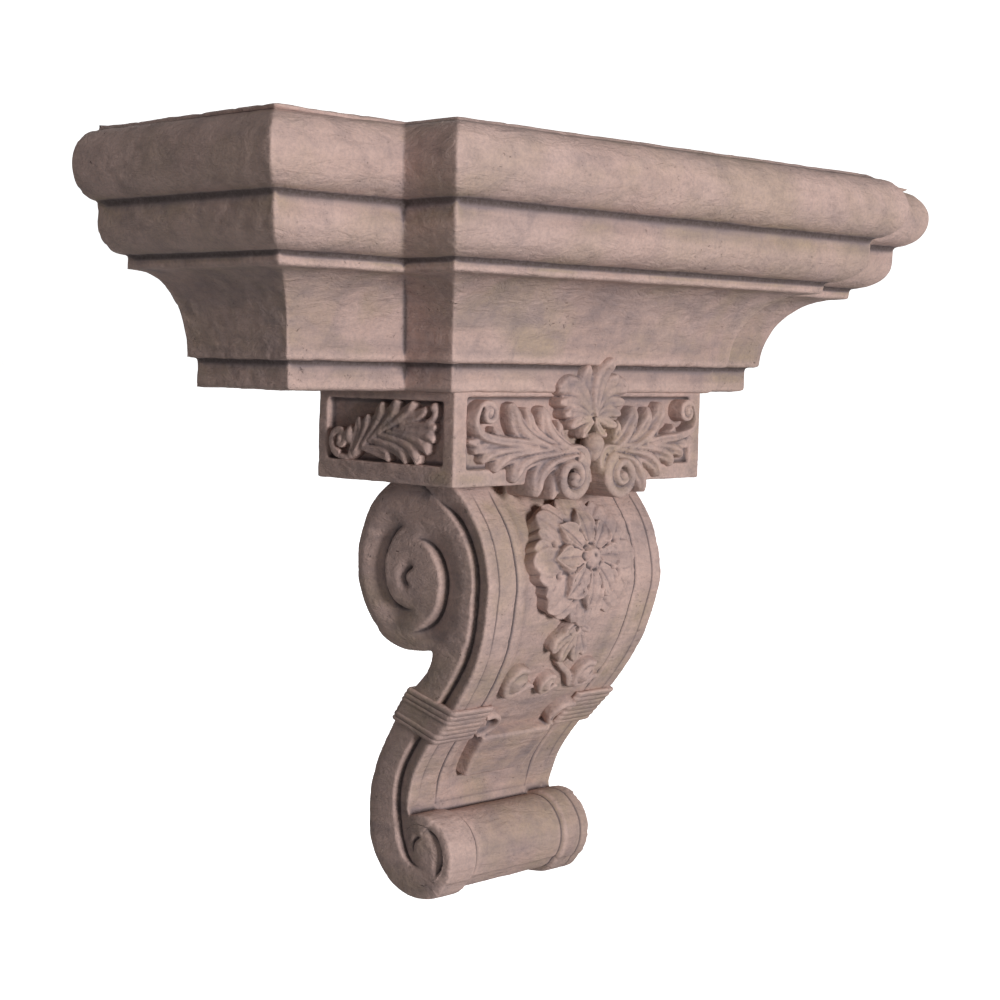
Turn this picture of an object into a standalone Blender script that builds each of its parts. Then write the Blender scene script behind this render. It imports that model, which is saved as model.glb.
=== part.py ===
"""Wall bracket: a break-front shelf on a carved block and a scrolled console.

X runs along the wall, the wall is the plane Y = 0 with the bracket in front of it (negative Y),
and Z is up. The origin is on the flat back, MOUNT_RISE above the foot of the shelf.
"""
import math

import bmesh
import bpy
import numpy as np

MM = 0.001

# Shelf: plan of its lowest band, and the mouldings as offsets from that band.
WING_HALF_WIDTH = 322.4
CENTRE_HALF_WIDTH = 186.0
WING_DEPTH = 128.0
CENTRE_DEPTH = 188.5
BAND_HEIGHT = 26.0
COVE_FOOT_OFFSET = 10.8
COVE_HEAD_OFFSET = 69.0
COVE_TOP = 101.5
FILLET_OFFSET = 76.6
FILLET_TOP = 113.5
OVOLO_OFFSET = 108.4
OVOLO_SHOULDER = 141.0
TORUS_FOOT = 158.0
TORUS_OFFSET = 134.7
TORUS_TOP = 217.5
TOP_OFFSET = 107.0
SHELF_HEIGHT = 222.5
MOUNT_RISE = 111.0

# Block under the shelf, with a sunk panel on its front and on each side, inside flat margins.
BLOCK_HALF_WIDTH = 175.5
BLOCK_DEPTH = 182.5
BLOCK_HEIGHT = 84.5
BLOCK_ROUNDING = 2.5
FRONT_SIDE_MARGIN = 17.0
FRONT_TOP_MARGIN = 3.0
FRONT_FOOT_MARGIN = 15.7
FRONT_PANEL_SINK = 6.0
SIDE_BACK_MARGIN = 13.0
SIDE_FRONT_MARGIN = 15.5
SIDE_TOP_MARGIN = 8.0
SIDE_FOOT_MARGIN = 18.5
SIDE_PANEL_SINK = 8.0
JOIN = 8.0

# Size of the block that the carving below is drawn on; the carving grows with the real block.
DRAWN_BLOCK_HALF_WIDTH = 175.5
DRAWN_BLOCK_DEPTH = 182.5
DRAWN_BLOCK_HEIGHT = 84.5

# Console: its real depth and its height below the block, and the same sizes as drawn.
CONSOLE_DEPTH = 181.0
CONSOLE_HEIGHT = 409.8
DRAWN_CONSOLE_DEPTH = 181.0
DRAWN_CONSOLE_HEIGHT = 409.8
DRAWN_CONSOLE_HEAD = 84.5

# Drawn console: half width at the head and at the roll, and its S outline as (depth, drop) points.
HEAD_HALF_WIDTH = 123.9
HEAD_DROP = 190.0
ROLL_HALF_WIDTH = 101.5
ROLL_DROP = 425.0
ROLL_AXIS = (75.5, 447.0)
COLLAR_RADIUS = 41.5
BARREL_RADIUS = 38.8
COLLAR_WIDTH = 34.0
FRONT_OUTLINE = ((124, 78), (142.5, 95), (168, 128), (181, 172), (177, 206), (163.5, 248),
                 (134.6, 293.4), (94.6, 337.5), (69, 374.5), (57, 411))
UNDER_OUTLINE = ((109, 470), (97, 487), (78, 494.5), (53, 494), (29, 484), (11.5, 466), (1.5, 447))
LOWER_BACK_OUTLINE = ((0, 436), (0, 417), (4.5, 393), (13, 370), (26, 347), (43, 322), (64, 293),
                      (86, 273), (98, 257), (101.5, 245.5))
VOLUTE_OUTLINE = ((101.5, 245.5), (80, 248.3), (58, 248.5), (33, 239.5), (15, 220), (4, 198), (0, 178),
                  (0, 156), (6.5, 133), (21, 107.5), (45, 88), (56, 78))
BARREL_INSET = 6.0

# Borders of the console's front: strip, line, fillet, groove and bead, then the sunk field.
STRIP_WIDTH = 15.5
LINE_DEPTH = 1.8
GROOVE_INSET = 38.5
GROOVE_DEPTH = 4.5
BORDER_WIDTH = 47.0
FIELD_SINK = 7.0
FIELD_HEAD = 78.0
FIELD_FOOT = 409.0

# Scroll lines on the sides: (depth, drop) of the groove, and how wide its slope is.
RIM_LINE = ((111, 98), (145, 123), (164.2, 161), (162.6, 205), (147.7, 250), (113, 298), (79, 335.6),
            (50.4, 379), (42.2, 422), (54, 457), (80, 464))
OUTER_LINE = ((70, 125), (48, 139), (37, 171), (43, 196), (58, 208), (84, 207.5))
INNER_LINE = ((72, 233), (92, 225), (110, 209), (120, 183), (114, 157), (97, 142), (76, 141))
EYE_LINE = ((82, 165), (69, 172.5), (68, 181), (76, 188.5))
ROLL_LINE = ((82, 423), (97, 431), (103.5, 447), (96, 468))
LINE_SINK = 8.0
RIM_SLOPE = 26.0
SCROLL_SLOPE = 26.0
EYE_SLOPE = 8.0

# Reeded band round each border.
BAND_HEAD = ((68, 284.5), (132, 300))
BAND_FOOT = ((41, 320), (99, 337))
REEDS = 6
REED_CREST = 3.2
REED_VALLEY = 1.4

# Tablet in the lower field.
TABLET_HEAD = 330.0
TABLET_FOOT = 376.0
TABLET_HEAD_HALF_WIDTH = 50.0
TABLET_FOOT_HALF_WIDTH = 41.0
TABLET_RISE = 7.5

# Acanthus arms on the block's front, as (across, height) points for the right-hand arm.
SCROLL_CENTRE = (34.5, -78.0)
SCROLL_RADIUS = 25.5
SCROLL_RISE = 22.0
SCROLL_ROOT = 42.0
LEAF_RISE = 14.0
MIDRIB = ((13, -70), (20, -58), (50, -50), (90, -45), (128, -43), (150, -37), (155, -24), (147, -10))
CURL_CENTRE = (142.0, -18.5)
CURL_RADIUS = 12.5
UPPER_LOBES = 3
UPPER_ROOTS = ((14, -57), (42, -52))
UPPER_TIPS = ((67, -13), (88, -12), (109, -9))
LOWER_LOBES = 7
LOWER_ROOTS = ((15, -58), (102, -46))
LOWER_TIPS = ((58, -96), (112, -78), (165, -41))
BUD_CENTRE = (0.0, -46.0)
BUD_SIZE = (10.5, 12.0, 15.0)

# Sprays on the block's sides, as (distance from the wall, height) points.
SPRAY_CURL_CENTRE = (31.0, -48.0)
SPRAY_LOBES = 5

# Flower, its wreath, and the bellflower and buds below them.
FLOWER_DROP = 157.0
FLOWER_RISE = 19.0
BUTTON_RADIUS = 13.0
PETALS = 8
PETAL_LENGTH = 46.0
GARLAND_HALF_WIDTH = 70.0
GARLAND_HALF_HEIGHT = 58.0
GARLAND_RISE = 11.0
GARLAND_LEAVES = 12
BELL_DROP = 214.0
BELL_LENGTH = 40.0
BUDS_DROP = 275.0
BUD_SPACING = 49.0

# Share of the faces kept when the finished solid is thinned, and the angle of a sharp edge.
FACET_SHARE = 0.56
SHARP_ANGLE = 32.0


def spline(points, per_span):
    """Smooth curve through the points, with per_span pieces between each two."""
    pts = [np.array(p, float) for p in points]
    pts = [2 * pts[0] - pts[1]] + pts + [2 * pts[-1] - pts[-2]]
    out = []
    for i in range(1, len(pts) - 2):
        a, b, c, d = pts[i - 1:i + 3]
        for k in range(per_span):
            t = k / per_span
            out.append(0.5 * (2 * b + (c - a) * t + (2 * a - 5 * b + 4 * c - d) * t * t
                              + (3 * b - a - 3 * c + d) * t ** 3))
    out.append(pts[-2])
    return out


def resample(points, count):
    """The same curve as count points at even distances."""
    pts = np.array(points)
    run = np.concatenate([[0], np.cumsum(np.linalg.norm(np.diff(pts, axis=0), axis=1))])
    at = np.linspace(0, run[-1], count)
    return [np.array([np.interp(s, run, pts[:, k]) for k in range(pts.shape[1])]) for s in at]


def loft(rings):
    """Vertices and faces of a solid through rings of equal length, capped at both ends."""
    count = len(rings[0])
    verts = [tuple(p) for ring in rings for p in ring]
    faces = []
    for i in range(len(rings) - 1):
        for k in range(count):
            m = (k + 1) % count
            faces.append((i * count + k, i * count + m, (i + 1) * count + m, (i + 1) * count + k))
    faces.append(tuple(range(count))[::-1])
    faces.append(tuple((len(rings) - 1) * count + k for k in range(count)))
    return verts, faces


def ball(centre, size, place, rows=4, columns=8):
    """Vertices and faces of an egg shape; place turns face coordinates into space."""
    verts = [place(centre[0], centre[1] + size[2], centre[2])]
    for i in range(1, rows):
        a = math.pi * i / rows
        for k in range(columns):
            b = 2 * math.pi * k / columns
            verts.append(place(centre[0] + size[0] * math.sin(a) * math.cos(b),
                               centre[1] + size[2] * math.cos(a),
                               centre[2] + size[1] * math.sin(a) * math.sin(b)))
    verts.append(place(centre[0], centre[1] - size[2], centre[2]))
    last = len(verts) - 1
    faces = [(0, 1 + k, 1 + (k + 1) % columns) for k in range(columns)]
    for i in range(rows - 2):
        for k in range(columns):
            m = (k + 1) % columns
            a = 1 + i * columns
            faces.append((a + k, a + columns + k, a + columns + m, a + m))
    base = 1 + (rows - 2) * columns
    faces += [(base + (k + 1) % columns, base + k, last) for k in range(columns)]
    return verts, faces


def add_object(name, solids):
    """One mesh object, in metres, from a list of (vertices, faces)."""
    mesh = bpy.data.meshes.new(name)
    bm = bmesh.new()
    for verts, faces in solids:
        made = [bm.verts.new((v[0] * MM, v[1] * MM, (v[2] - MOUNT_RISE) * MM)) for v in verts]
        new = [bm.faces.new([made[i] for i in face]) for face in faces]
        bmesh.ops.recalc_face_normals(bm, faces=new)
    bmesh.ops.triangulate(bm, faces=bm.faces[:])
    bm.to_mesh(mesh)
    bm.free()
    made = bpy.data.objects.new(name, mesh)
    bpy.context.scene.collection.objects.link(made)
    return made


def combine(target, tool, operation):
    """Union or difference with a hidden tool object."""
    cut = target.modifiers.new(tool.name, "BOOLEAN")
    cut.operation = operation
    cut.object = tool
    cut.solver = "EXACT"
    cut.use_self = True
    tool.hide_render = True
    tool.display_type = "WIRE"


def apply_modifiers(target):
    """Fix the result of the modifiers in the mesh and drop the tools they used."""
    tools = [m.object for m in target.modifiers if m.type == "BOOLEAN"]
    depsgraph = bpy.context.evaluated_depsgraph_get()
    mesh = bpy.data.meshes.new_from_object(target.evaluated_get(depsgraph))
    target.modifiers.clear()
    target.data = mesh
    for tool in tools:
        bpy.data.objects.remove(tool)


# Places: each turns drawn coordinates (across, up, out) into a point in space.

def on_front(u, v, n):
    wide = BLOCK_HALF_WIDTH / DRAWN_BLOCK_HALF_WIDTH
    tall = BLOCK_HEIGHT / DRAWN_BLOCK_HEIGHT
    return (u * wide, -BLOCK_DEPTH - n, v * tall)


def on_block_side(sign):
    deep = BLOCK_DEPTH / DRAWN_BLOCK_DEPTH
    tall = BLOCK_HEIGHT / DRAWN_BLOCK_HEIGHT
    return lambda u, v, n: (sign * (BLOCK_HALF_WIDTH + n), -u * deep, v * tall)


def console_sized(solids):
    """Bring solids drawn on the console to its real size, hung from the block's underside."""
    deep = CONSOLE_DEPTH / DRAWN_CONSOLE_DEPTH
    tall = CONSOLE_HEIGHT / DRAWN_CONSOLE_HEIGHT
    return [([(x, y * deep, (z + DRAWN_CONSOLE_HEAD) * tall - BLOCK_HEIGHT) for x, y, z in verts], faces)
            for verts, faces in solids]


FRONT_CURVE = spline(FRONT_OUTLINE, 3)


def half_width(drop):
    return float(np.interp(drop, [HEAD_DROP, ROLL_DROP], [HEAD_HALF_WIDTH, ROLL_HALF_WIDTH]))


def on_console(u, v, n):
    """Across, height and distance out from the console's front surface."""
    curve = np.array(FRONT_CURVE)
    depth = np.interp(-v, curve[:, 1], curve[:, 0])
    ahead = np.interp(-v + 6, curve[:, 1], curve[:, 0])
    behind = np.interp(-v - 6, curve[:, 1], curve[:, 0])
    slope = (ahead - behind) / 12
    size = math.hypot(1, slope)
    return (u, -depth - n / size, v + n * slope / size)


def on_side(sign):
    def place(depth, drop, n):
        return (sign * (half_width(drop) + n), -depth, -drop)
    return place


# Shelf.

def shelf_profile():
    """Offset and height of every level, from the foot up."""
    levels = [(0, 0), (0, BAND_HEIGHT), (COVE_FOOT_OFFSET, BAND_HEIGHT + 1.0)]
    steps = 6
    for i in range(1, steps + 1):
        a = 0.5 * math.pi * i / steps
        levels.append((COVE_HEAD_OFFSET - (COVE_HEAD_OFFSET - COVE_FOOT_OFFSET) * math.cos(a),
                       BAND_HEIGHT + (COVE_TOP - BAND_HEIGHT) * math.sin(a)))
    levels += [(FILLET_OFFSET, COVE_TOP + 0.5), (FILLET_OFFSET, FILLET_TOP)]
    steps = 5
    for i in range(1, steps + 1):
        a = 0.5 * math.pi * i / steps
        levels.append((FILLET_OFFSET + 2 + (OVOLO_OFFSET - FILLET_OFFSET - 2) * math.sin(a),
                       OVOLO_SHOULDER - (OVOLO_SHOULDER - FILLET_TOP) * math.cos(a)))
    levels.append((OVOLO_OFFSET, TORUS_FOOT))
    steps = 10
    middle = 0.5 * (TORUS_FOOT + TORUS_TOP)
    for i in range(1, steps):
        a = math.pi * (i / steps - 0.5)
        levels.append((OVOLO_OFFSET + (TORUS_OFFSET - OVOLO_OFFSET) * math.cos(a),
                       middle + 0.5 * (TORUS_TOP - TORUS_FOOT) * math.sin(a)))
    levels += [(TOP_OFFSET, TORUS_TOP), (TOP_OFFSET, SHELF_HEIGHT)]
    return levels


def plan_ring(offset, height):
    w, c = WING_HALF_WIDTH + offset, CENTRE_HALF_WIDTH + offset
    near, far = -(WING_DEPTH + offset), -(CENTRE_DEPTH + offset)
    plan = [(-w, 0), (-w, near), (-c, near), (-c, far), (c, far), (c, near), (w, near), (w, 0)]
    return [(x, y, height) for x, y in plan]


def shelf():
    return loft([plan_ring(o, z) for o, z in shelf_profile()])


# Block.

def box(x0, x1, y0, y1, z0, z1):
    return loft([[(x0, y0, z), (x1, y0, z), (x1, y1, z), (x0, y1, z)] for z in (z0, z1)])


def block():
    r = BLOCK_ROUNDING
    rings = []
    for z, inset in ((-BLOCK_HEIGHT, r), (-BLOCK_HEIGHT + r, 0), (JOIN, 0)):
        w, f = BLOCK_HALF_WIDTH - inset, -BLOCK_DEPTH + inset
        rings.append([(-w, 0, z), (-w, f + r, z), (-w + r, f, z), (w - r, f, z), (w, f + r, z), (w, 0, z)])
    return loft(rings)


def panel_cutters():
    w = BLOCK_HALF_WIDTH - FRONT_SIDE_MARGIN
    cuts = [box(-w, w, -BLOCK_DEPTH - 5, -BLOCK_DEPTH + FRONT_PANEL_SINK,
                -BLOCK_HEIGHT + FRONT_FOOT_MARGIN, -FRONT_TOP_MARGIN)]
    for sign in (-1, 1):
        x = sorted((sign * (BLOCK_HALF_WIDTH - SIDE_PANEL_SINK), sign * (BLOCK_HALF_WIDTH + 5)))
        cuts.append(box(x[0], x[1], -BLOCK_DEPTH + SIDE_FRONT_MARGIN, -SIDE_BACK_MARGIN,
                        -BLOCK_HEIGHT + SIDE_FOOT_MARGIN, -SIDE_TOP_MARGIN))
    return cuts


# Console.

def outline(barrel):
    """The closed side outline; between the collars the foot is the barrel."""
    front = FRONT_CURVE[:-1]
    start = math.atan2(ROLL_AXIS[1] - FRONT_CURVE[-1][1], FRONT_CURVE[-1][0] - ROLL_AXIS[0])
    radius = BARREL_RADIUS if barrel else COLLAR_RADIUS
    roll = []
    stop = -math.radians(38)
    for i in range(11):
        a = start + (stop - start) * i / 10
        roll.append(np.array([ROLL_AXIS[0] + radius * math.cos(a), ROLL_AXIS[1] - radius * math.sin(a)]))
    under = spline(UNDER_OUTLINE, 2)
    if barrel:
        axis = np.array(ROLL_AXIS)
        inset = []
        for i, p in enumerate(under):
            pull = BARREL_INSET * math.sin(math.pi * min(1.0, (i + 1) / (len(under) - 1))) ** 0.5
            away = (p - axis) / np.linalg.norm(p - axis)
            inset.append(p - away * pull)
        under = inset
    back = resample(spline(LOWER_BACK_OUTLINE[2:], 3), 12)
    back = [np.array(p, float) for p in LOWER_BACK_OUTLINE[:2]] + back
    volute = resample(spline(VOLUTE_OUTLINE, 3), 24)[1:]
    return [np.array([max(0.0, p[0]), p[1]]) for p in front + roll + under + back + volute]


def console():
    side, middle = outline(False), outline(True)
    rings = []
    for inset, shape in ((0, side), (COLLAR_WIDTH, side), (COLLAR_WIDTH + 1.5, middle)):
        rings.append([(-(half_width(p[1]) - inset), -p[0], -p[1]) for p in shape])
    for inset, shape in ((COLLAR_WIDTH + 1.5, middle), (COLLAR_WIDTH, side), (0, side)):
        rings.append([(half_width(p[1]) - inset, -p[0], -p[1]) for p in shape])
    return loft(rings)


def front_cutters():
    """The sunk field and the border lines, swept down the console's front."""
    drops = np.linspace(FIELD_HEAD, FIELD_FOOT, 16)
    rings = []
    for d in drops:
        w = half_width(d) - BORDER_WIDTH
        section = ((-w, 6), (-w, -FIELD_SINK), (w, -FIELD_SINK), (w, 6))
        rings.append([on_console(u, -d, n) for u, n in section])
    cuts = [loft(rings)]
    for sign in (-1, 1):
        groove = []
        line = []
        for d in drops:
            w = half_width(d)
            groove.append([on_console(sign * (w - GROOVE_INSET - a), -d, n)
                           for a, n in ((-3, 4), (-0.8, -GROOVE_DEPTH), (1.2, -GROOVE_DEPTH), (3, 4))])
            line.append([on_console(sign * (w - STRIP_WIDTH - a), -d, n)
                         for a, n in ((-2.2, 2), (0, -LINE_DEPTH), (2.2, 2))])
        cuts += [loft(groove), loft(line)]
    return cuts


def side_cut(points, slope, sign, stations, inward):
    """A groove along a line on the side, steep on one side and sloping up on the other."""
    path = resample(spline(points, 4), stations)
    place = on_side(sign)
    rings = []
    for i, p in enumerate(path):
        t = i / (stations - 1)
        along = path[min(i + 1, stations - 1)] - path[max(i - 1, 0)]
        along = along / np.linalg.norm(along)
        across = np.array([along[1], -along[0]]) * inward
        ease = min(1.0, 4 * t + 0.08, 4 * (1 - t) + 0.08)
        wide = slope * (0.35 + 0.65 * ease)
        deep = LINE_SINK * ease
        ring = []
        for a, n in ((-1.5, 3.0), (0, -deep), (wide * 0.45, -deep * 0.35), (wide, 3.0)):
            q = p + across * a
            ring.append(place(q[0], q[1], n))
        rings.append(ring)
    return loft(rings)


def side_cutters():
    cuts = []
    for sign in (-1, 1):
        cuts.append(side_cut(RIM_LINE, RIM_SLOPE, sign, 19, -1))
        cuts.append(side_cut(OUTER_LINE, SCROLL_SLOPE, sign, 10, -1))
        cuts.append(side_cut(INNER_LINE, SCROLL_SLOPE - 6, sign, 10, -1))
        cuts.append(side_cut(EYE_LINE, EYE_SLOPE, sign, 5, -1))
        cuts.append(side_cut(ROLL_LINE, EYE_SLOPE, sign, 6, -1))
    return cuts


def reeded_band(sign):
    head, foot = [np.array(pair, float) for pair in (BAND_HEAD, BAND_FOOT)]
    rings = []
    steps = 2 * REEDS
    for i in range(steps + 1):
        t = i / steps
        back = head[0] + (foot[0] - head[0]) * t
        front = head[1] + (foot[1] - head[1]) * t
        lift = REED_CREST if i % 2 else REED_VALLEY
        along = (front - back) / np.linalg.norm(front - back)
        back = back - along * lift
        front = front + along * lift
        w = half_width(0.5 * (back[1] + front[1]))
        out, inner = w + lift, w - BORDER_WIDTH - 1.5
        rings.append([(sign * out, -back[0], -back[1]), (sign * out, -front[0], -front[1]),
                      (sign * inner, -front[0], -front[1]), (sign * inner, -back[0], -back[1])])
    return loft(rings)


def tablet():
    rings = []
    for i in range(5):
        t = i / 4
        d = TABLET_HEAD + (TABLET_FOOT - TABLET_HEAD) * t
        w = TABLET_HEAD_HALF_WIDTH + (TABLET_FOOT_HALF_WIDTH - TABLET_HEAD_HALF_WIDTH) * t
        section = ((-w - 3, -FIELD_SINK - 6), (-w, TABLET_RISE), (w, TABLET_RISE), (w + 3, -FIELD_SINK - 6))
        rings.append([on_console(u, -d, n) for u, n in section])
    return loft(rings)


# Leaves.

def leaf(place, spine, width, rise, root=6.0, flute=0.3, stations=6, start=0.45, lift=0.0, tip_drop=0.5):
    """A lobe along a spine of (across, up) points: raised edges and a hollow middle."""
    path = resample(spline(spine, 4), stations)
    rings = []
    for i, p in enumerate(path):
        t = i / (stations - 1)
        along = path[min(i + 1, stations - 1)] - path[max(i - 1, 0)]
        along = along / np.linalg.norm(along)
        across = np.array([-along[1], along[0]])
        swell = start + (1 - start) * math.sin(math.pi * min(t / 1.2, 1.0)) if t < 0.6 else \
            (start + (1 - start)) * math.sqrt(max(0.0, 1 - ((t - 0.6) / 0.43) ** 2)) + 0.06
        w = 0.5 * width * swell
        h = lift + rise * (1 - tip_drop * t * t)
        ring = []
        for a, n in ((-1.0, -root), (-0.72, h), (0, h * (1 - flute)), (0.72, h), (1.0, -root)):
            q = p + across * a * w
            ring.append(place(q[0], q[1], n))
        rings.append(ring)
    return loft(rings)


def coil(place, centre, radius, thick, turns, start, rise_in, rise_out, root, hand, stations):
    """A spiral roll of leaf, highest at its eye."""
    rings = []
    for i in range(stations):
        t = i / (stations - 1)
        a = start + hand * 2 * math.pi * turns * t
        r = (radius - thick * 0.5) * (1 - t ** 1.5) + thick * 0.34 * t ** 1.5
        half = thick * (0.5 - 0.22 * t)
        h = rise_out + (rise_in - rise_out) * t
        ring = []
        for k, n in ((-1.0, -root), (-0.8, 0.75 * h), (0, h), (0.8, 0.75 * h), (1.0, -root)):
            d = r + half * k
            ring.append(place(centre[0] + d * math.cos(a), centre[1] + d * math.sin(a), n))
        rings.append(ring)
    return loft(rings)


def mirrored(place):
    return lambda u, v, n: place(-u, v, n)


def acanthus(place):
    """One arm of the block's carving: hanging volute, midrib, corner curl and two rows of lobes."""
    cx, cz = SCROLL_CENTRE
    solids = [coil(place, (cx, cz), SCROLL_RADIUS, 14.0, 1.3, math.radians(150), SCROLL_RISE,
                   SCROLL_RISE - 2, SCROLL_ROOT, 1, 18)]
    solids.append(ball((cx, cz, SCROLL_RISE - 9), (8.5, 9.0, 8.5), place, 4, 8))
    solids.append(leaf(place, MIDRIB, 13.0, LEAF_RISE, 8, 0.1, 9, 0.8, 0, 0.25))
    solids.append(coil(place, CURL_CENTRE, CURL_RADIUS, 9.0, 0.85, math.radians(60), LEAF_RISE - 1,
                       LEAF_RISE - 4, 8, 1, 9))
    for spine in lobe_spines(UPPER_ROOTS, UPPER_TIPS, UPPER_LOBES, 0.28):
        solids.append(leaf(place, spine, 23, LEAF_RISE, 8, 0.35, 5))
    for k, spine in enumerate(lobe_spines(LOWER_ROOTS, LOWER_TIPS, LOWER_LOBES, 0.18)):
        deep = SCROLL_ROOT * 0.6 if k < 2 else 8
        solids.append(leaf(place, spine, 20 - 1.2 * k, LEAF_RISE + 3 - 0.8 * k, deep, 0.35, 5, 0.4))
    return solids


def lobe_spines(roots, tips, count, early):
    """Spines that leave the midrib along it and turn out to their tips; early is the first bend's share."""
    first, last = np.array(roots, float)
    spines = []
    for k, tip in enumerate(resample(spline(tips, 8), count)):
        root = first + (last - first) * k / max(1, count - 1)
        reach = tip - root
        spines.append([root, root + reach * (0.6, early), root + reach * (0.9, 0.3 + early), tip])
    return spines


def palmette(place):
    """Leaf crest over the middle of the block, reaching up across the shelf's band."""
    solids = [leaf(place, [(0, -22), (0, 6), (0, 32)], 40, 24, 8, 0.3, 7, 0.3, 0, -0.1)]
    for sign in (-1, 1):
        solids.append(leaf(place, [(0, -16), (sign * 26, 8), (sign * 50, 5)], 25, 17, 8, 0.25, 7, 0.35, 0, 0.1))
        solids.append(leaf(place, [(0, -24), (sign * 26, -10), (sign * 49, -11)], 21, 18, 8, 0.25, 6, 0.35))
        solids.append(leaf(place, [(0, -28), (sign * 18, -24), (sign * 35, -30)], 18, 19, 8, 0.25, 6, 0.4))
        solids.append(leaf(place, [(0, -20), (sign * 7, -30), (sign * 9, -38)], 12, 22, 8, 0.2, 5, 0.5))
    solids.append(ball((BUD_CENTRE[0], BUD_CENTRE[1], 10), BUD_SIZE, place, 5, 8))
    return solids


def side_spray(place):
    """Leaf spray on the side panel: curl by the wall, stem rising to the front."""
    sink = -SIDE_PANEL_SINK
    rise = SIDE_PANEL_SINK
    solids = [coil(place, SPRAY_CURL_CENTRE, 16, 10.0, 0.95, math.radians(300), 3, 1, 12, -1, 11)]
    solids.append(leaf(place, [(33, -63), (52, -57), (74, -42), (100, -30), (126, -12)], 10, rise, 12, 0.1,
                       6, 0.7, sink + 6, 0.4))
    for k in range(SPRAY_LOBES):
        root = (48 + 13 * k, -60 + 7 * k)
        tip = (57 + 18 * k, -25 + 3.6 * k)
        bow = (0.5 * (root[0] + tip[0]) - 1, 0.5 * (root[1] + tip[1]))
        solids.append(leaf(place, [root, bow, tip], 13 + 0.8 * k, rise, 12, 0.3, 4, 0.5, sink + 5, 0.4))
    for k in range(SPRAY_LOBES):
        root = (72 + 9 * k, -43 + 1.5 * k)
        tip = (96 + 14.5 * k, -64.5 + 0.9 * k * k)
        bow = (0.5 * (root[0] + tip[0]) + 2, 0.5 * (root[1] + tip[1]) + 3)
        solids.append(leaf(place, [root, bow, tip], 11.5, rise, 12, 0.3, 4, 0.5, sink + 4.5, 0.4))
    solids.append(leaf(place, [(112, -32), (138, -32), (152, -22), (157, -12)], 9, rise, 12, 0.2, 4, 0.6,
                       sink + 4, 0.3))
    return solids


def garland():
    """Flower in a wreath of lobed leaves on the console's front."""
    place = on_console
    solids = []
    for k in range(GARLAND_LEAVES):
        a = 2 * math.pi * (k + 0.5) / GARLAND_LEAVES
        ca, sa = math.cos(a), math.sin(a)
        outer = (GARLAND_HALF_WIDTH * ca, -FLOWER_DROP + GARLAND_HALF_HEIGHT * sa)
        inner = (20 * ca, -FLOWER_DROP + 18 * sa)
        solids.append(leaf(place, [inner, outer], 36, GARLAND_RISE, FIELD_SINK + 4, 0.15, 5, 0.4, 0, 0.35))
    for k in range(PETALS):
        a = 2 * math.pi * k / PETALS
        ca, sa = math.cos(a), math.sin(a)
        tip = (PETAL_LENGTH * ca, -FLOWER_DROP + PETAL_LENGTH * sa)
        inner = (6 * ca, -FLOWER_DROP + 6 * sa)
        solids.append(leaf(place, [inner, tip], 22, FLOWER_RISE, FIELD_SINK + 4, 0.3, 5, 0.35, 0, 0.45))
    button = (BUTTON_RADIUS, FLOWER_RISE + 2, BUTTON_RADIUS)
    solids.append(ball((0, -FLOWER_DROP, 0), button, place, 6, 8))
    return solids


def drop():
    """Bellflower and three buds hanging from the garland."""
    place = on_console
    head, foot = -BELL_DROP, -BELL_DROP - BELL_LENGTH
    buds = -BUDS_DROP
    solids = []
    for k in range(-1, 2):
        spine = [(-3, head), (-4 + 8 * k, 0.5 * (head + foot)), (-6 + 19 * k, foot + 5 * abs(k))]
        solids.append(leaf(place, spine, 15, 6, FIELD_SINK + 4, 0.2, 5, 0.4, 0, 0.4))
    tendril = [(-4, foot + 10), (6, 0.5 * (foot + buds)), (22, buds + 3), (44, buds - 1)]
    solids.append(leaf(place, tendril, 7, 2, FIELD_SINK + 4, 0, 6, 0.8))
    for k in range(-1, 2):
        u, v, w = BUD_SPACING * k, buds - 3 * (k == 0), 13 + abs(k)
        stalk = [(u, v - 4), (u + w, v - 4), (u + 1.6 * w, v - 7)]
        solids.append(ball((u, v, -3), (w, 11.0, 10.5), place, 4, 8))
        solids.append(leaf(place, stalk, 8, 1, FIELD_SINK + 4, 0, 4))
    return solids


def main():
    for old in list(bpy.data.objects):
        bpy.data.objects.remove(old)
    stone = bpy.data.materials.new("cast_terracotta")
    stone.use_nodes = True
    shader = stone.node_tree.nodes["Principled BSDF"]
    shader.inputs["Base Color"].default_value = (0.43, 0.30, 0.26, 1)
    shader.inputs["Roughness"].default_value = 0.9

    bracket = add_object("wall_bracket", [shelf()])
    combine(bracket, add_object("block_form", [block()]), "UNION")
    combine(bracket, add_object("panel_cuts", panel_cutters()), "DIFFERENCE")
    body = add_object("console_form", console_sized([console()]))
    combine(body, add_object("front_cuts", console_sized(front_cutters())), "DIFFERENCE")
    combine(body, add_object("side_cuts", console_sized(side_cutters())), "DIFFERENCE")
    apply_modifiers(body)
    combine(bracket, body, "UNION")
    carving = acanthus(on_front) + acanthus(mirrored(on_front)) + palmette(on_front)
    carving += side_spray(on_block_side(-1)) + side_spray(on_block_side(1))
    carving += console_sized(garland() + drop() + [reeded_band(-1), reeded_band(1), tablet()])
    combine(bracket, add_object("carving_forms", carving), "UNION")
    thin = bracket.modifiers.new("thin", "DECIMATE")
    thin.ratio = FACET_SHARE
    apply_modifiers(bracket)
    bracket.data.materials.append(stone)
    bracket.data.shade_smooth()
    bracket.data.set_sharp_from_angle(angle=math.radians(SHARP_ANGLE))


main()
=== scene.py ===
"""Cast terracotta wall bracket: moulded shelf, carved block and scrolled console.

Lengths in the shape code are millimetres. Heights are measured from the foot of the shelf, depths
from the wall, and FOOT_Z puts them in the frame, whose origin is on the bracket's flat back.
"""
import math

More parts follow.
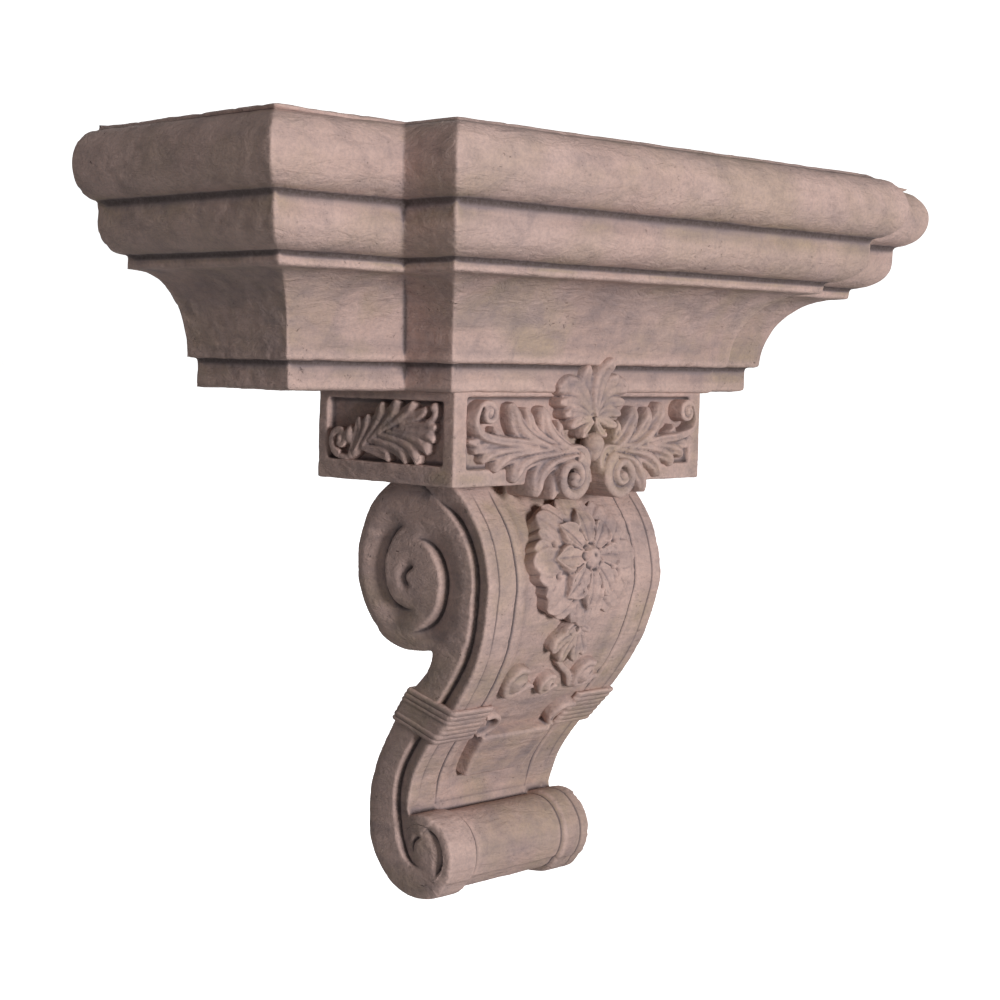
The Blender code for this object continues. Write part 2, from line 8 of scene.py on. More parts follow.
import bpy
import numpy as np
from bpy.props import FloatProperty, FloatVectorProperty, IntProperty, PointerProperty
from mathutils import Matrix


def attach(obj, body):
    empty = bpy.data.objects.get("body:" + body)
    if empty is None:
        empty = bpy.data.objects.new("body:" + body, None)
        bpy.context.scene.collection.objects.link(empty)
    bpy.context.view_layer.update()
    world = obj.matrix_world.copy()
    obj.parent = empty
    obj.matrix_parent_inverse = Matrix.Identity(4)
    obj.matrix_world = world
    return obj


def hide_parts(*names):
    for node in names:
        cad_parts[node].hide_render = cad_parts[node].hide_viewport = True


bl_info = {
    "name": "Cast wall bracket",
    "version": (1, 0, 0),
    "blender": (4, 5, 0),
    "location": "View3D > Sidebar > Bracket",
    "description": "Builds a scrolled wall bracket in weathered cast terracotta",
    "category": "Add Mesh",
}

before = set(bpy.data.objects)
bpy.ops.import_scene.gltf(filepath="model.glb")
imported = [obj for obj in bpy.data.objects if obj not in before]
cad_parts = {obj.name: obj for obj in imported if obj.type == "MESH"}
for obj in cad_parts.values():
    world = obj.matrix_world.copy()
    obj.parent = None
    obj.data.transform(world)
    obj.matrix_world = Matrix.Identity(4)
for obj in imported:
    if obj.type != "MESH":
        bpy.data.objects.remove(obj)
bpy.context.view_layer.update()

MM = 0.001
FOOT_Z = -111.0
NODE = "wall_bracket"

# Shelf.
WING_HALF_WIDTH, CENTRE_HALF_WIDTH = 322.4, 186.0
WING_DEPTH, CENTRE_DEPTH = 128.0, 188.5
BAND_HEIGHT, SHELF_HEIGHT = 26.0, 222.5
COVE_FOOT, COVE_HEAD, COVE_TOP = 10.8, 69.0, 101.5
FILLET_OFFSET, FILLET_TOP = 76.6, 113.5
OVOLO_OFFSET, OVOLO_SHOULDER = 108.4, 141.0
TORUS_FOOT, TORUS_OFFSET, TORUS_TOP = 158.0, 134.5, 217.5
TOP_OFFSET, LEDGE_REACH = 107.0, 12.0
CAP_INSET = -127.0
PROFILE_STEP, CAP_STEP, EDGE_STEP, BACK_STEPS = 2.2, 9.0, 3.9, 45
CORNER_STEPS = (0.0, 0.9, 2.0, 3.4, 5.4)

# Block: the panels are (half width, foot, head, sink) and (near, far, foot, head, sink).
BLOCK_HALF_WIDTH, BLOCK_DEPTH, BLOCK_HEIGHT = 175.5, 182.5, 84.5
FRONT_PANEL = (158.5, -68.8, -3.0, 6.0)
SIDE_PANEL = (13.0, 167.0, -66.0, -8.0, 8.0)

# Console, outlines as (depth, drop).
HEAD_HALF_WIDTH, HEAD_DROP = 123.9, 190.0
ROLL_HALF_WIDTH, ROLL_DROP = 101.5, 425.0
ROLL_AXIS = (77.0, 449.5)
COLLAR_RADIUS, BARREL_RADIUS, COLLAR_WIDTH, COLLAR_STEP = 39.5, 36.9, 38.5, 1.5
FRONT_OUTLINE = ((124, 78), (142.5, 95), (168, 128), (181, 172), (177, 206), (163.5, 248),
                 (134.6, 293.4), (94.6, 337.5), (69, 374.5), (57, 411))
UNDER_OUTLINE = ((109, 470), (97, 487), (78, 494.3), (53, 494), (29, 484), (11.5, 466), (1.5, 447))
LOWER_BACK = ((0, 436), (0, 417), (4.5, 393), (13, 370), (26, 347), (43, 322), (64, 293),
              (86, 273), (98, 257), (101.5, 245.5))
VOLUTE_BACK = ((101.5, 245.5), (80, 248.3), (58, 248.5), (33, 239.5), (15, 220), (4, 198), (0, 178),
               (0, 156), (6.5, 133), (21, 107.5), (45, 88), (56, 78))
FRONT_POINTS, ARC_POINTS, LOWER_POINTS, VOLUTE_POINTS = 110, 42, 60, 110
KEEP_BORDER = 60.0
SIDE_ZONE, SIDE_RAISE, RAISE_RUN = 21.0, 2.2, 12.0
BORDER_WIDTH, FIELD_SINK, FIELD_WALL = 47.0, 4.2, 6.0
PRESS_DEPTH = 20.0

# Scroll lines on the console's sides: points, slope on the open side and the steep side, depth,
# which side is open, and how hollow the slope is.
RIM_LINE = ((107, 98), (141, 124), (159.5, 161), (158.2, 205), (143.5, 248.5), (109, 296), (75, 333),
            (46.5, 377), (40.5, 422), (54, 457), (83, 465))
OUTER_LINE = ((72, 126), (52, 136), (40, 154), (37, 171), (41, 191), (51.5, 205), (67, 208.5), (84, 207.5))
INNER_LINE = ((70, 233), (90, 226), (106, 215), (116, 200), (120, 183), (118, 168), (108, 151),
              (93, 141), (76, 141))
EYE_LINE = ((82, 165), (69, 172.5), (68, 181), (76, 188.5))
ROLL_LINE = ((82, 422), (95, 429), (102.5, 440), (102.5, 455), (94, 470))
ROLL_EYE = ((77, 431), (66, 438), (63, 446), (67, 453))
SCROLLS = ((RIM_LINE, 34.0, 2.2, 6.5, -1, 1.5), (OUTER_LINE, 29.0, 4.5, 8.0, 1, 1.45),
           (INNER_LINE, 27.0, 5.0, 8.0, 1, 1.45), (EYE_LINE, 12.0, 3.5, 5.0, 1, 1.5),
           (ROLL_LINE, 12.0, 3.5, 5.0, 1, 1.4), (ROLL_EYE, 9.0, 3.0, 3.4, 1, 1.4))

# Reeded bands, their edges on the console as (back, front) at the head and the foot.
BAND_HEAD = ((68, 284.5), (132, 300))
BAND_FOOT = ((41, 320), (99, 337))
BAND_ROWS, BAND_CORNER, BAND_LIFT, BAND_ROOT = 58, 4.0, 1.3, 4.5
REEDS, REED_RISE = 7.0, 0.0015

# Flower and wreath.
FLOWER_DROP = 157.0
WREATH_LEAVES, WREATH_RADIUS, WREATH_SQUASH, WREATH_EYES = 8, 57.0, 0.84, 46.0
PETAL_EYES, PETAL_ROOT = 26.5, 9.0
FLOWER_SQUEEZE = 0.13

# Height of the surface's grain in metres.
GRAIN_HEIGHT = 0.0018

# Triangle limits and mesh sizes.
BLOCK_VOXEL, SPRAY_VOXEL, TABLET_VOXEL = 1.5, 0.9, 1.1
BLOCK_LIMIT, FRONT_LIMIT, SPRAY_LIMIT = 90000, 190000, 60000
CONSOLE_LIMIT, GARLAND_LIMIT, TABLET_LIMIT = 195000, 150000, 40000

# Stage: the sweep's backdrop, the lamps as (name, power, size, place, aim), and the fitted camera.
FLOOR_DROP, FLOOR_HALF_WIDTH, FLOOR_AWAY, SWEEP_RADIUS = 900.0, 8000.0, 1.1, 1.5
LAMPS = (("key", 160, 0.8, (-0.72, -4.3, 0.15), (0, -0.2, -0.15)),
         ("fill", 4.5, 1.6, (-2.6, -1.0, 0.6), (0, -0.2, -0.2)),
         ("back", 18, 1.0, (0.9, 1.5, 0.5), (0, 0, -0.2)))
CAMERA_YAW, CAMERA_PITCH, CAMERA_ROLL = 0.7551, -0.0876, 0.0204
CAMERA_PLACE = (-1.3846, -1.3843, 0.0320 + FOOT_Z * MM)
SENSOR_WIDTH, FOCAL_SHARE, CAMERA_SHIFT = 36.0, 1925.4 / 1000, (0.1117, 0.0246)


# Curves and noise.

def smooth_curve(points, per_span=8):
    """Curve through the points, as an array."""
    pts = np.array(points, float)
    pts = np.vstack([2 * pts[0] - pts[1], pts, 2 * pts[-1] - pts[-2]])
    t = np.arange(per_span)[:, None] / per_span
    spans = []
    for a, b, c, d in zip(pts[:-3], pts[1:-2], pts[2:-1], pts[3:]):
        spans.append(0.5 * (2 * b + (c - a) * t + (2 * a - 5 * b + 4 * c - d) * t * t
                            + (3 * b - a - 3 * c + d) * t ** 3))
    return np.vstack(spans + [pts[-2]])


def even(points, count):
    """The same curve as count points at even distances."""
    run = np.concatenate([[0], np.cumsum(np.linalg.norm(np.diff(points, axis=0), axis=1))])
    at = np.linspace(0, run[-1], count)
    return np.stack([np.interp(at, run, points[:, k]) for k in range(points.shape[1])], 1)


def directions(path):
    """Unit direction along a path at each of its points."""
    along = np.gradient(path, axis=0)
    return along / np.linalg.norm(along, axis=1, keepdims=True)


def bump_at(value, middle, width):
    """A smooth hump of height 1 over the middle."""
    return np.exp(-((value - middle) / width) ** 2)


def rising(value, scale=1.0):
    """The value times the scale, kept from 0 to 1."""
    return np.clip(value * scale, 0, 1)


def hash_grid(i, j, k, seed):
    """Repeatable value from -1 to 1 for each whole-number cell."""
    h = (i * 73856093) ^ (j * 19349663) ^ (k * 83492791) ^ (seed * 2654435761 & 0x7FFFFFFF)
    h = (h ^ (h >> 13)) * 1274126177 & 0x7FFFFFFF
    return (h ^ (h >> 16)) % 65536 / 32767.5 - 1.0


def lumps(points, size, seed=0):
    """Smooth noise from -1 to 1 with lumps of about the given size in mm."""
    p = points / size
    cell = np.floor(p).astype(np.int64)
    f = p - cell
    f = f * f * (3 - 2 * f)
    total = 0.0
    for dx in (0, 1):
        for dy in (0, 1):
            for dz in (0, 1):
                weight = (np.where(dx, f[:, 0], 1 - f[:, 0]) * np.where(dy, f[:, 1], 1 - f[:, 1])
                          * np.where(dz, f[:, 2], 1 - f[:, 2]))
                total = total + weight * hash_grid(cell[:, 0] + dx, cell[:, 1] + dy, cell[:, 2] + dz, seed)
    return total


def nearest(points, path):
    """Distance to a path, side of it (1 left, -1 right) and how far along it, for each point."""
    best = np.full(len(points), 1e9)
    side = np.zeros(len(points))
    along = np.zeros(len(points))
    for i in range(len(path) - 1):
        a, d = path[i], path[i + 1] - path[i]
        rel = points - a
        t = np.clip(rel @ d / (d @ d), 0, 1)
        gap = rel - t[:, None] * d
        dist = np.hypot(gap[:, 0], gap[:, 1])
        near = dist < best
        best[near] = dist[near]
        side[near] = np.sign(d[0] * rel[near, 1] - d[1] * rel[near, 0])
        along[near] = (i + t[near]) / (len(path) - 1)
    return best, side, along


# Meshes.

def new_object(name, verts, faces):
    """Object from vertices in mm and faces given as arrays of quads or as lists."""
    mesh = bpy.data.meshes.new(name)
    if isinstance(faces, np.ndarray):
        mesh.vertices.add(len(verts))
        mesh.vertices.foreach_set("co", (verts * MM).astype(np.float32).ravel())
        mesh.loops.add(faces.size)
        mesh.loops.foreach_set("vertex_index", faces.astype(np.int32).ravel())
        mesh.polygons.add(len(faces))
        mesh.polygons.foreach_set("loop_start", np.arange(0, faces.size, faces.shape[1], dtype=np.int32))
        mesh.update(calc_edges=True)
    else:
        mesh.from_pydata([tuple(v * MM) for v in np.asarray(verts, float)], [], faces)
    made = bpy.data.objects.new(name, mesh)
    bpy.context.scene.collection.objects.link(made)
    return made


def positions(mesh):
    """Vertex positions in mm."""
    out = np.empty(len(mesh.vertices) * 3, np.float32)
    mesh.vertices.foreach_get("co", out)
    return out.reshape(-1, 3).astype(float) / MM


def set_positions(mesh, points):
    """Put the vertices at the points, given in mm."""
    mesh.vertices.foreach_set("co", (points * MM).astype(np.float32).ravel())
    mesh.update()


def outward(verts, quads):
    """The same closed skin with its faces pointing out."""
    a, b, c, d = (verts[quads[:, k]] for k in range(4))
    volume = np.einsum("ij,ij->", a, np.cross(b, c)) + np.einsum("ij,ij->", a, np.cross(c, d))
    return (verts, quads) if volume > 0 else (verts, quads[:, ::-1])


def slab(top, under):
    """Vertices and quads of a closed skin between two grids of the same shape."""
    rows, columns = top.shape[:2]
    count = rows * columns
    verts = np.vstack([top.reshape(-1, 3), under.reshape(-1, 3)])
    index = np.arange(count).reshape(rows, columns)
    quads = np.stack([index[:-1, :-1], index[1:, :-1], index[1:, 1:], index[:-1, 1:]], -1).reshape(-1, 4)
    rim = np.concatenate([index[0, :], index[1:, -1], index[-1, -2::-1], index[-2:0:-1, 0]])
    ahead = np.roll(rim, -1)
    wall = np.stack([rim, ahead, ahead + count, rim + count], -1)
    return outward(verts, np.vstack([quads, quads[:, ::-1] + count, wall]))


def ring_quads(rows, columns):
    """Vertex numbers of a stack of closed rings, those one step ahead, and the quads between rings."""
    index = np.arange(rows * columns).reshape(rows, columns)
    ahead = np.roll(index, -1, axis=1)
    return index, ahead, np.stack([index[:-1], ahead[:-1], ahead[1:], index[1:]], -1).reshape(-1, 4)


def capped(rows, columns):
    """Faces of a stack of closed rings with a flat cap at each end."""
    index, _, quads = ring_quads(rows, columns)
    return quads.tolist() + [index[0, ::-1].tolist(), index[-1].tolist()]


def together(parts):
    """One vertex and quad list from several."""
    verts, quads, base = [], [], 0
    for v, q in parts:
        verts.append(v)
        quads.append(q + base)
        base += len(v)
    return np.vstack(verts), np.vstack(quads)


def baked(made):
    """Replace the object's mesh by its evaluated one and drop its modifiers."""
    depsgraph = bpy.context.evaluated_depsgraph_get()
    mesh = bpy.data.meshes.new_from_object(made.evaluated_get(depsgraph))
    old = made.data
    made.modifiers.clear()
    made.data = mesh
    mesh.name = made.name
    bpy.data.meshes.remove(old)
    return made


def melted(made, voxel):
    """Fuse overlapping shapes into one skin of even small faces."""
    melt = made.modifiers.new("melt", "REMESH")
    melt.mode = "VOXEL"
    melt.voxel_size = voxel * MM
    melt.use_smooth_shade = True
    return baked(made)


def thinned(made, limit):
    """Bring the triangle count under the limit."""
    count = sum(len(p.vertices) - 2 for p in made.data.polygons)
    if count > limit:
        thin = made.modifiers.new("thin", "DECIMATE")
        thin.ratio = limit / count
        baked(made)
    return made


class Skin:
    """Vertex positions of a mesh with the neighbours needed to smooth and wear them."""

    def __init__(self, mesh):
        self.mesh = mesh
        self.points = positions(mesh)
        pairs = np.empty(len(mesh.edges) * 2, np.int32)
        mesh.edges.foreach_get("vertices", pairs)
        self.pairs = pairs.reshape(-1, 2)
        self.degree = np.maximum(np.bincount(pairs, minlength=len(self.points)), 1)

    def average(self, values):
        a, b = self.pairs.T
        count = len(self.points)
        cols = [np.bincount(a, values[b, k], count) + np.bincount(b, values[a, k], count)
                for k in range(values.shape[1])]
        return np.stack(cols, 1) / self.degree[:, None]

    def relaxed(self, times, share=0.5):
        values = self.points.copy()
        for _ in range(times):
            values += (self.average(values) - values) * share
        return values

    def normals(self):
        set_positions(self.mesh, self.points)
        out = np.empty(len(self.points) * 3, np.float32)
        self.mesh.vertices.foreach_get("normal", out)
        return out.reshape(-1, 3).astype(float)


def weathered(made, seed, wobble=0.45, pits=0.16, chips=0.9, wide=30, rough=1.25):
    """Soften, wear and chip the skin, and store how hollow or exposed each point is."""
    skin = Skin(made.data)
    normal = skin.normals()
    near = np.einsum("ij,ij->i", skin.relaxed(4) - skin.points, normal)
    far = np.einsum("ij,ij->i", skin.relaxed(wide, 0.7) - skin.points, normal)
    p = skin.points
    edge = np.clip(-near / 0.35, 0, 1)
    push = wobble * (0.6 * lumps(p, 46, seed) + 0.4 * lumps(p, 19, seed + 1))
    patchy = 0.35 + 0.65 * np.clip(lumps(p, 70, seed + 9) + 0.45, 0, 1)
    grit = 0.24 * lumps(p, 11.0, seed + 10) + pits * lumps(p, 6.0, seed + 2)
    push += rough * patchy * (grit + 0.6 * pits * lumps(p, 3.1, seed + 3))
    chip = np.clip(lumps(p, 9.0, seed + 4) + 0.5 * lumps(p, 3.6, seed + 5) - 0.45, 0, 1)
    push -= chips * 2.2 * chip * edge
    push -= 0.35 * edge * (0.5 + 0.5 * lumps(p, 25, seed + 6))
    scab = np.clip(lumps(p * [0.5, 0.5, 1.0], 5.0, seed + 7) - 0.5, 0, 1)
    scab = scab * np.clip(lumps(p, 60, seed + 8) + 0.1, 0, 1)
    push -= 9.0 * pits * rough * scab
    skin.points = p + normal * push[:, None]
    skin.points[:, 1] = np.minimum(skin.points[:, 1], 0.0)
    set_positions(made.data, skin.points)
    for name, values in (("hollow", far / 2.2), ("edge", -near / 0.3)):
        store = made.data.attributes.new(name, "FLOAT", "POINT")
        store.data.foreach_set("value", np.clip(values, -1, 1).astype(np.float32))
    made.data.polygons.foreach_set("use_smooth", np.ones(len(made.data.polygons), bool))
    return made


def finished(made, material):
    """Hang the piece on the frame in place of the CAD solid, with its finish."""
    made.data.materials.clear()
    made.data.materials.append(material)
    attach(made, "root")
    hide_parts(NODE)
    return made


# Places: flat carving coordinates (across, up, out) turned into space.

def on_front(p):
    """Onto the block's front."""
    return np.stack([p[:, 0], -BLOCK_DEPTH - p[:, 2], p[:, 1] + FOOT_Z], 1)


def on_side(sign):
    """Onto one side of the block."""
    def place(p):
        return np.stack([sign * (BLOCK_HALF_WIDTH + p[:, 2]), -p[:, 0], p[:, 1] + FOOT_Z], 1)
    return place


FRONT_CURVE = smooth_curve(FRONT_OUTLINE, 12)


def front_depth(drop):
    """Depth of the console's front at a drop below the shelf's foot."""
    return np.interp(drop, FRONT_CURVE[:, 1], FRONT_CURVE[:, 0])


def on_console(p):
    """Onto the console's curved front."""
    drop = -p[:, 1]
    slope = (front_depth(drop + 5) - front_depth(drop - 5)) / 10
    size = np.hypot(1, slope)
    away, up = -front_depth(drop) - p[:, 2] / size, p[:, 1] + p[:, 2] * slope / size + FOOT_Z
    return np.stack([p[:, 0], away, up], 1)


def half_width(drop):
    """Half the console's width at a drop."""
    return np.interp(drop, [HEAD_DROP, ROLL_DROP], [HEAD_HALF_WIDTH, ROLL_HALF_WIDTH])


# Leaf forms, made flat and melted together.

def finger(spine, width, rise, root=8.0, groove=0.35, tilt=0.0, start=0.5, lift=0.0, fall=0.45,
           curl=0.0, stations=26, across=17, flutes=1):
    """A lobe of leaf along a spine: plump edges, hollow flutes and a rounded tip."""
    path = even(smooth_curve(spine), stations)
    along = directions(path)
    aside = np.stack([-along[:, 1], along[:, 0]], 1)
    t = np.linspace(0, 1, stations)
    swell = np.where(t < 0.6, start + (1 - start) * np.sin(math.pi * np.minimum(t / 1.2, 1.0)),
                     np.sqrt(rising(1 - ((t - 0.6) / 0.42) ** 2)) + 0.04)
    wide = 0.5 * width * swell
    a = np.linspace(-1, 1, across)
    crown = (1 - np.abs(a) ** 3) ** 0.6
    middles = (2 * np.arange(flutes) + 1) / flutes - 1
    channel = groove * sum(bump_at(a, m, 0.42 / flutes) for m in middles)
    body = rise * (1 - fall * t ** 2) + curl * bump_at(t, 0.88, 0.12)
    fade = 0.25 + 0.75 * np.sin(math.pi * t ** 0.8)
    high = lift + body[:, None] * (0.35 + 0.65 * crown[None, :] - channel[None, :] * fade[:, None])
    high = high + tilt * a[None, :] * wide[:, None]
    flat = path[:, None, :] + aside[:, None, :] * (a[None, :, None] * wide[:, None, None])
    top = np.concatenate([flat, high[..., None]], -1)
    under = np.concatenate([flat, np.full_like(high, -root)[..., None]], -1)
    return slab(top, under)


def lobe(root, tip, width, rise, early, flutes, deep, start, lift, fall, groove, curl):
    """A lobe of leaf that leaves its stem along it and turns out to its rounded tip."""
    root, tip = np.array(root, float), np.array(tip, float)
    reach = tip - root
    spine = [root, root + reach * (0.58, early), root + reach * (0.88, 0.32 + early), tip]
    return finger(spine, width, rise, deep, groove, 0, start, lift, fall, curl, 34, 12 * flutes + 9, flutes)


def coil(centre, radius, thick, turns, start, hand, rise_out, rise_in, root, stations, across=13):
    """A rolled band of leaf winding in to its eye."""
    t = np.linspace(0, 1, stations)
    angle = math.radians(start) + hand * 2 * math.pi * turns * t
    r = (radius - thick * 0.5) * (1 - t ** 1.25) + thick * 0.34 * t ** 1.25
    half = thick * (0.5 - 0.22 * t)
    a = np.linspace(-1, 1, across)
    reach = r[:, None] + half[:, None] * a[None, :]
    crown = 0.62 + 0.38 * np.sqrt(1 - rising(np.abs(a - 0.1) / 1.11) ** 2)
    high = (rise_out + (rise_in - rise_out) * t)[:, None] * crown[None, :]
    u = centre[0] + reach * np.cos(angle)[:, None]
    v = centre[1] + reach * np.sin(angle)[:, None]
    return slab(np.stack([u, v, high], -1), np.stack([u, v, np.full_like(high, -root)], -1))


def boss(centre, size, base=0.0, rows=14, columns=24, point=0.0):
    """An egg-shaped button standing on the flat; point draws its lower end out."""
    a = np.linspace(0.02, math.pi - 0.02, rows)[:, None]
    b = np.linspace(0, 2 * math.pi, columns, endpoint=False)[None, :]
    u = centre[0] + size[0] * np.sin(a) * np.cos(b)
    ones = np.ones_like(b)
    v = centre[1] + size[1] * np.cos(a) * ones - point * rising(-np.cos(a)) ** 3 * ones
    n = base + size[2] * np.sin(a) * np.sin(b)
    verts = np.stack([u, v, n], -1).reshape(-1, 3)
    index, ahead, quads = ring_quads(rows, columns)
    poles = np.array([[*centre[:2], base]] * 2, float)
    poles[0, 1] += size[1]
    poles[1, 1] -= size[1] + point
    top, low = len(verts), len(verts) + 1
    caps = [[top, ahead[0, k], index[0, k], top] for k in range(columns)]
    caps += [[low, index[-1, k], ahead[-1, k], low] for k in range(columns)]
    return outward(np.vstack([verts, poles]), np.vstack([quads, np.array(caps)]))


def mirrored(part):
    """The part on the other side of the middle line."""
    verts, quads = part
    return verts * [-1, 1, 1], quads[:, ::-1]


def solid_object(name, parts):
    """Object from closed parts; flat-ended quads at a pole become triangles."""
    verts, quads = together(parts)
    faces = [[v for i, v in enumerate(q) if v != q[i - 1]] for q in quads.tolist()]
    return new_object(name, verts, faces)


def carved(name, parts, voxel, place, limit, seed, relax=2, extra=None, flip=False, **wear):
    """Melt flat leaf forms together, lay them on their surface and wear them."""
    made = melted(solid_object(name, parts), voxel)
    skin = Skin(made.data)
    skin.points = skin.relaxed(relax)
    if extra:
        skin.points = extra(skin.points)
    set_positions(made.data, place(skin.points))
    if flip:
        made.data.flip_normals()
    thinned(made, limit)
    return weathered(made, seed, **wear)


# Node trees.

def adder(tree):
    """Function that adds a node with its settings, values and links, and gives the node."""
    def add(kind, inputs, **choices):
        node = tree.nodes.new(kind)
        for name, choice in choices.items():
            setattr(node, name, choice)
        for socket, value in inputs.items():
            if isinstance(value, bpy.types.NodeSocket):
                tree.links.new(value, node.inputs[socket])
            else:
                node.inputs[socket].default_value = value
        return node
    return add


def tree_with(name, sockets):
    """New geometry tree with named inputs: its node adder, its inputs and a function that ends it."""
    tree = bpy.data.node_groups.new(name, "GeometryNodeTree")
    for label, kind, value in (*sockets, ("Material", "NodeSocketMaterial", None)):
        socket = tree.interface.new_socket(name=label, in_out="INPUT", socket_type=kind)
        if value is not None:
            socket.default_value = value
    tree.interface.new_socket(name="Geometry", in_out="OUTPUT", socket_type="NodeSocketGeometry")
    add = adder(tree)
    given = add("NodeGroupInput", {}).outputs

    def end(source):
        real = add("GeometryNodeRealizeInstances", {"Geometry": source})
        links = {"Geometry": real.outputs["Geometry"], "Material": given["Material"]}
        paint = add("GeometryNodeSetMaterial", links)
        add("NodeGroupOutput", {"Geometry": paint.outputs["Geometry"]})
        return tree

    return add, given, end


def petal_ring_tree():
    """Copies of one leaf set round an ellipse, each turned to point outwards."""
    add, given, end = tree_with("petal_ring", [
        ("Leaf", "NodeSocketObject", None), ("Count", "NodeSocketInt", 8),
        ("Radius Across", "NodeSocketFloat", 0.02), ("Radius Up", "NodeSocketFloat", 0.02),
        ("Turn", "NodeSocketFloat", 0.0), ("Size Spread", "NodeSocketFloat", 0.08),
        ("Turn Spread", "NodeSocketFloat", 0.06), ("Seed", "NodeSocketInt", 3)])

    def number(kind, a, b):
        return add("ShaderNodeMath", {0: a, 1: b}, operation=kind).outputs[0]

    def spread(low, high):
        limits = {2: low, 3: high, "Seed": given["Seed"]}
        return add("FunctionNodeRandomValue", limits, data_type="FLOAT").outputs[1]

    def vector(kind, a, b):
        return add("ShaderNodeVectorMath", {0: a, 1: b}, operation=kind).outputs[0]

    ring = add("GeometryNodeMeshCircle", {"Vertices": given["Count"], "Radius": 1.0})
    place = add("GeometryNodeInputPosition", {}).outputs[0]
    spin = add("ShaderNodeVectorRotate", {"Vector": place, "Angle": given["Turn"]}, rotation_type="Z_AXIS")
    squash = add("ShaderNodeCombineXYZ", {"X": given["Radius Across"], "Y": given["Radius Up"]})
    oval = vector("MULTIPLY", spin.outputs[0], squash.outputs[0])
    move = add("GeometryNodeSetPosition", {"Geometry": ring.outputs[0], "Position": oval})
    face = add("FunctionNodeAlignEulerToVector", {"Vector": place}, axis="X", pivot_axis="Z")
    size, turn = given["Size Spread"], given["Turn Spread"]
    sway = add("ShaderNodeCombineXYZ", {"Z": spread(number("MULTIPLY", turn, -1.0), turn)})
    grow = spread(number("SUBTRACT", 1.0, size), number("ADD", 1.0, size))
    leaf = add("GeometryNodeObjectInfo", {"Object": given["Leaf"]})
    put = add("GeometryNodeInstanceOnPoints", {
        "Points": move.outputs[0], "Instance": leaf.outputs["Geometry"],
        "Rotation": vector("ADD", face.outputs[0], sway.outputs[0]), "Scale": grow})
    return end(put.outputs[0])


def reed_tree():
    """Reeds raised along a strip, from how far across the strip each point is."""
    add, given, end = tree_with("reeded_strip", [
        ("Strip", "NodeSocketGeometry", None), ("Reeds", "NodeSocketFloat", 6.0),
        ("Rise", "NodeSocketFloat", 0.0016)])

    def stored(name, kind="FLOAT"):
        return add("GeometryNodeInputNamedAttribute", {"Name": name}, data_type=kind).outputs["Attribute"]

    def number(kind, a, b=0.5):
        return add("ShaderNodeMath", {0: a, 1: b}, operation=kind).outputs[0]

    turns = number("MULTIPLY", number("MULTIPLY", stored("across"), given["Reeds"]), math.pi)
    bulge = number("POWER", number("ABSOLUTE", number("SINE", turns)), 0.6)
    lift = number("MULTIPLY", number("MULTIPLY", bulge, stored("plain")), given["Rise"])
    away = stored("out_way", "FLOAT_VECTOR")
    shift = add("ShaderNodeVectorMath", {0: away, "Scale": lift}, operation="SCALE")
    move = add("GeometryNodeSetPosition", {"Geometry": given["Strip"], "Offset": shift.outputs[0]})
    return end(move.outputs[0])


def with_tree(made, tree, values):
    """Run a tree on the object with the named values and keep its result as a plain mesh."""
    nodes = made.modifiers.new(tree.name, "NODES")
    nodes.node_group = tree
    for item in tree.interface.items_tree:
        if item.item_type == "SOCKET" and item.in_out == "INPUT" and item.name in values:
            nodes[item.identifier] = values[item.name]
    return baked(made)


def ring_of(name, part, tree, **values):
    """A ring of copies of one flat leaf, as a part."""
    leaf = solid_object(name + "_leaf", [part])
    holder = new_object(name, np.zeros((1, 3)), [])
    mesh = with_tree(holder, tree, {"Leaf": leaf, **values}).data
    mesh.calc_loop_triangles()
    tris = np.empty(len(mesh.loop_triangles) * 3, np.int32)
    mesh.loop_triangles.foreach_get("vertices", tris)
    points = positions(mesh)
    for made in (holder, leaf):
        bpy.data.objects.remove(made)
    tris = tris.reshape(-1, 3)
    return points, np.hstack([tris, tris[:, :1]])


# Finish.

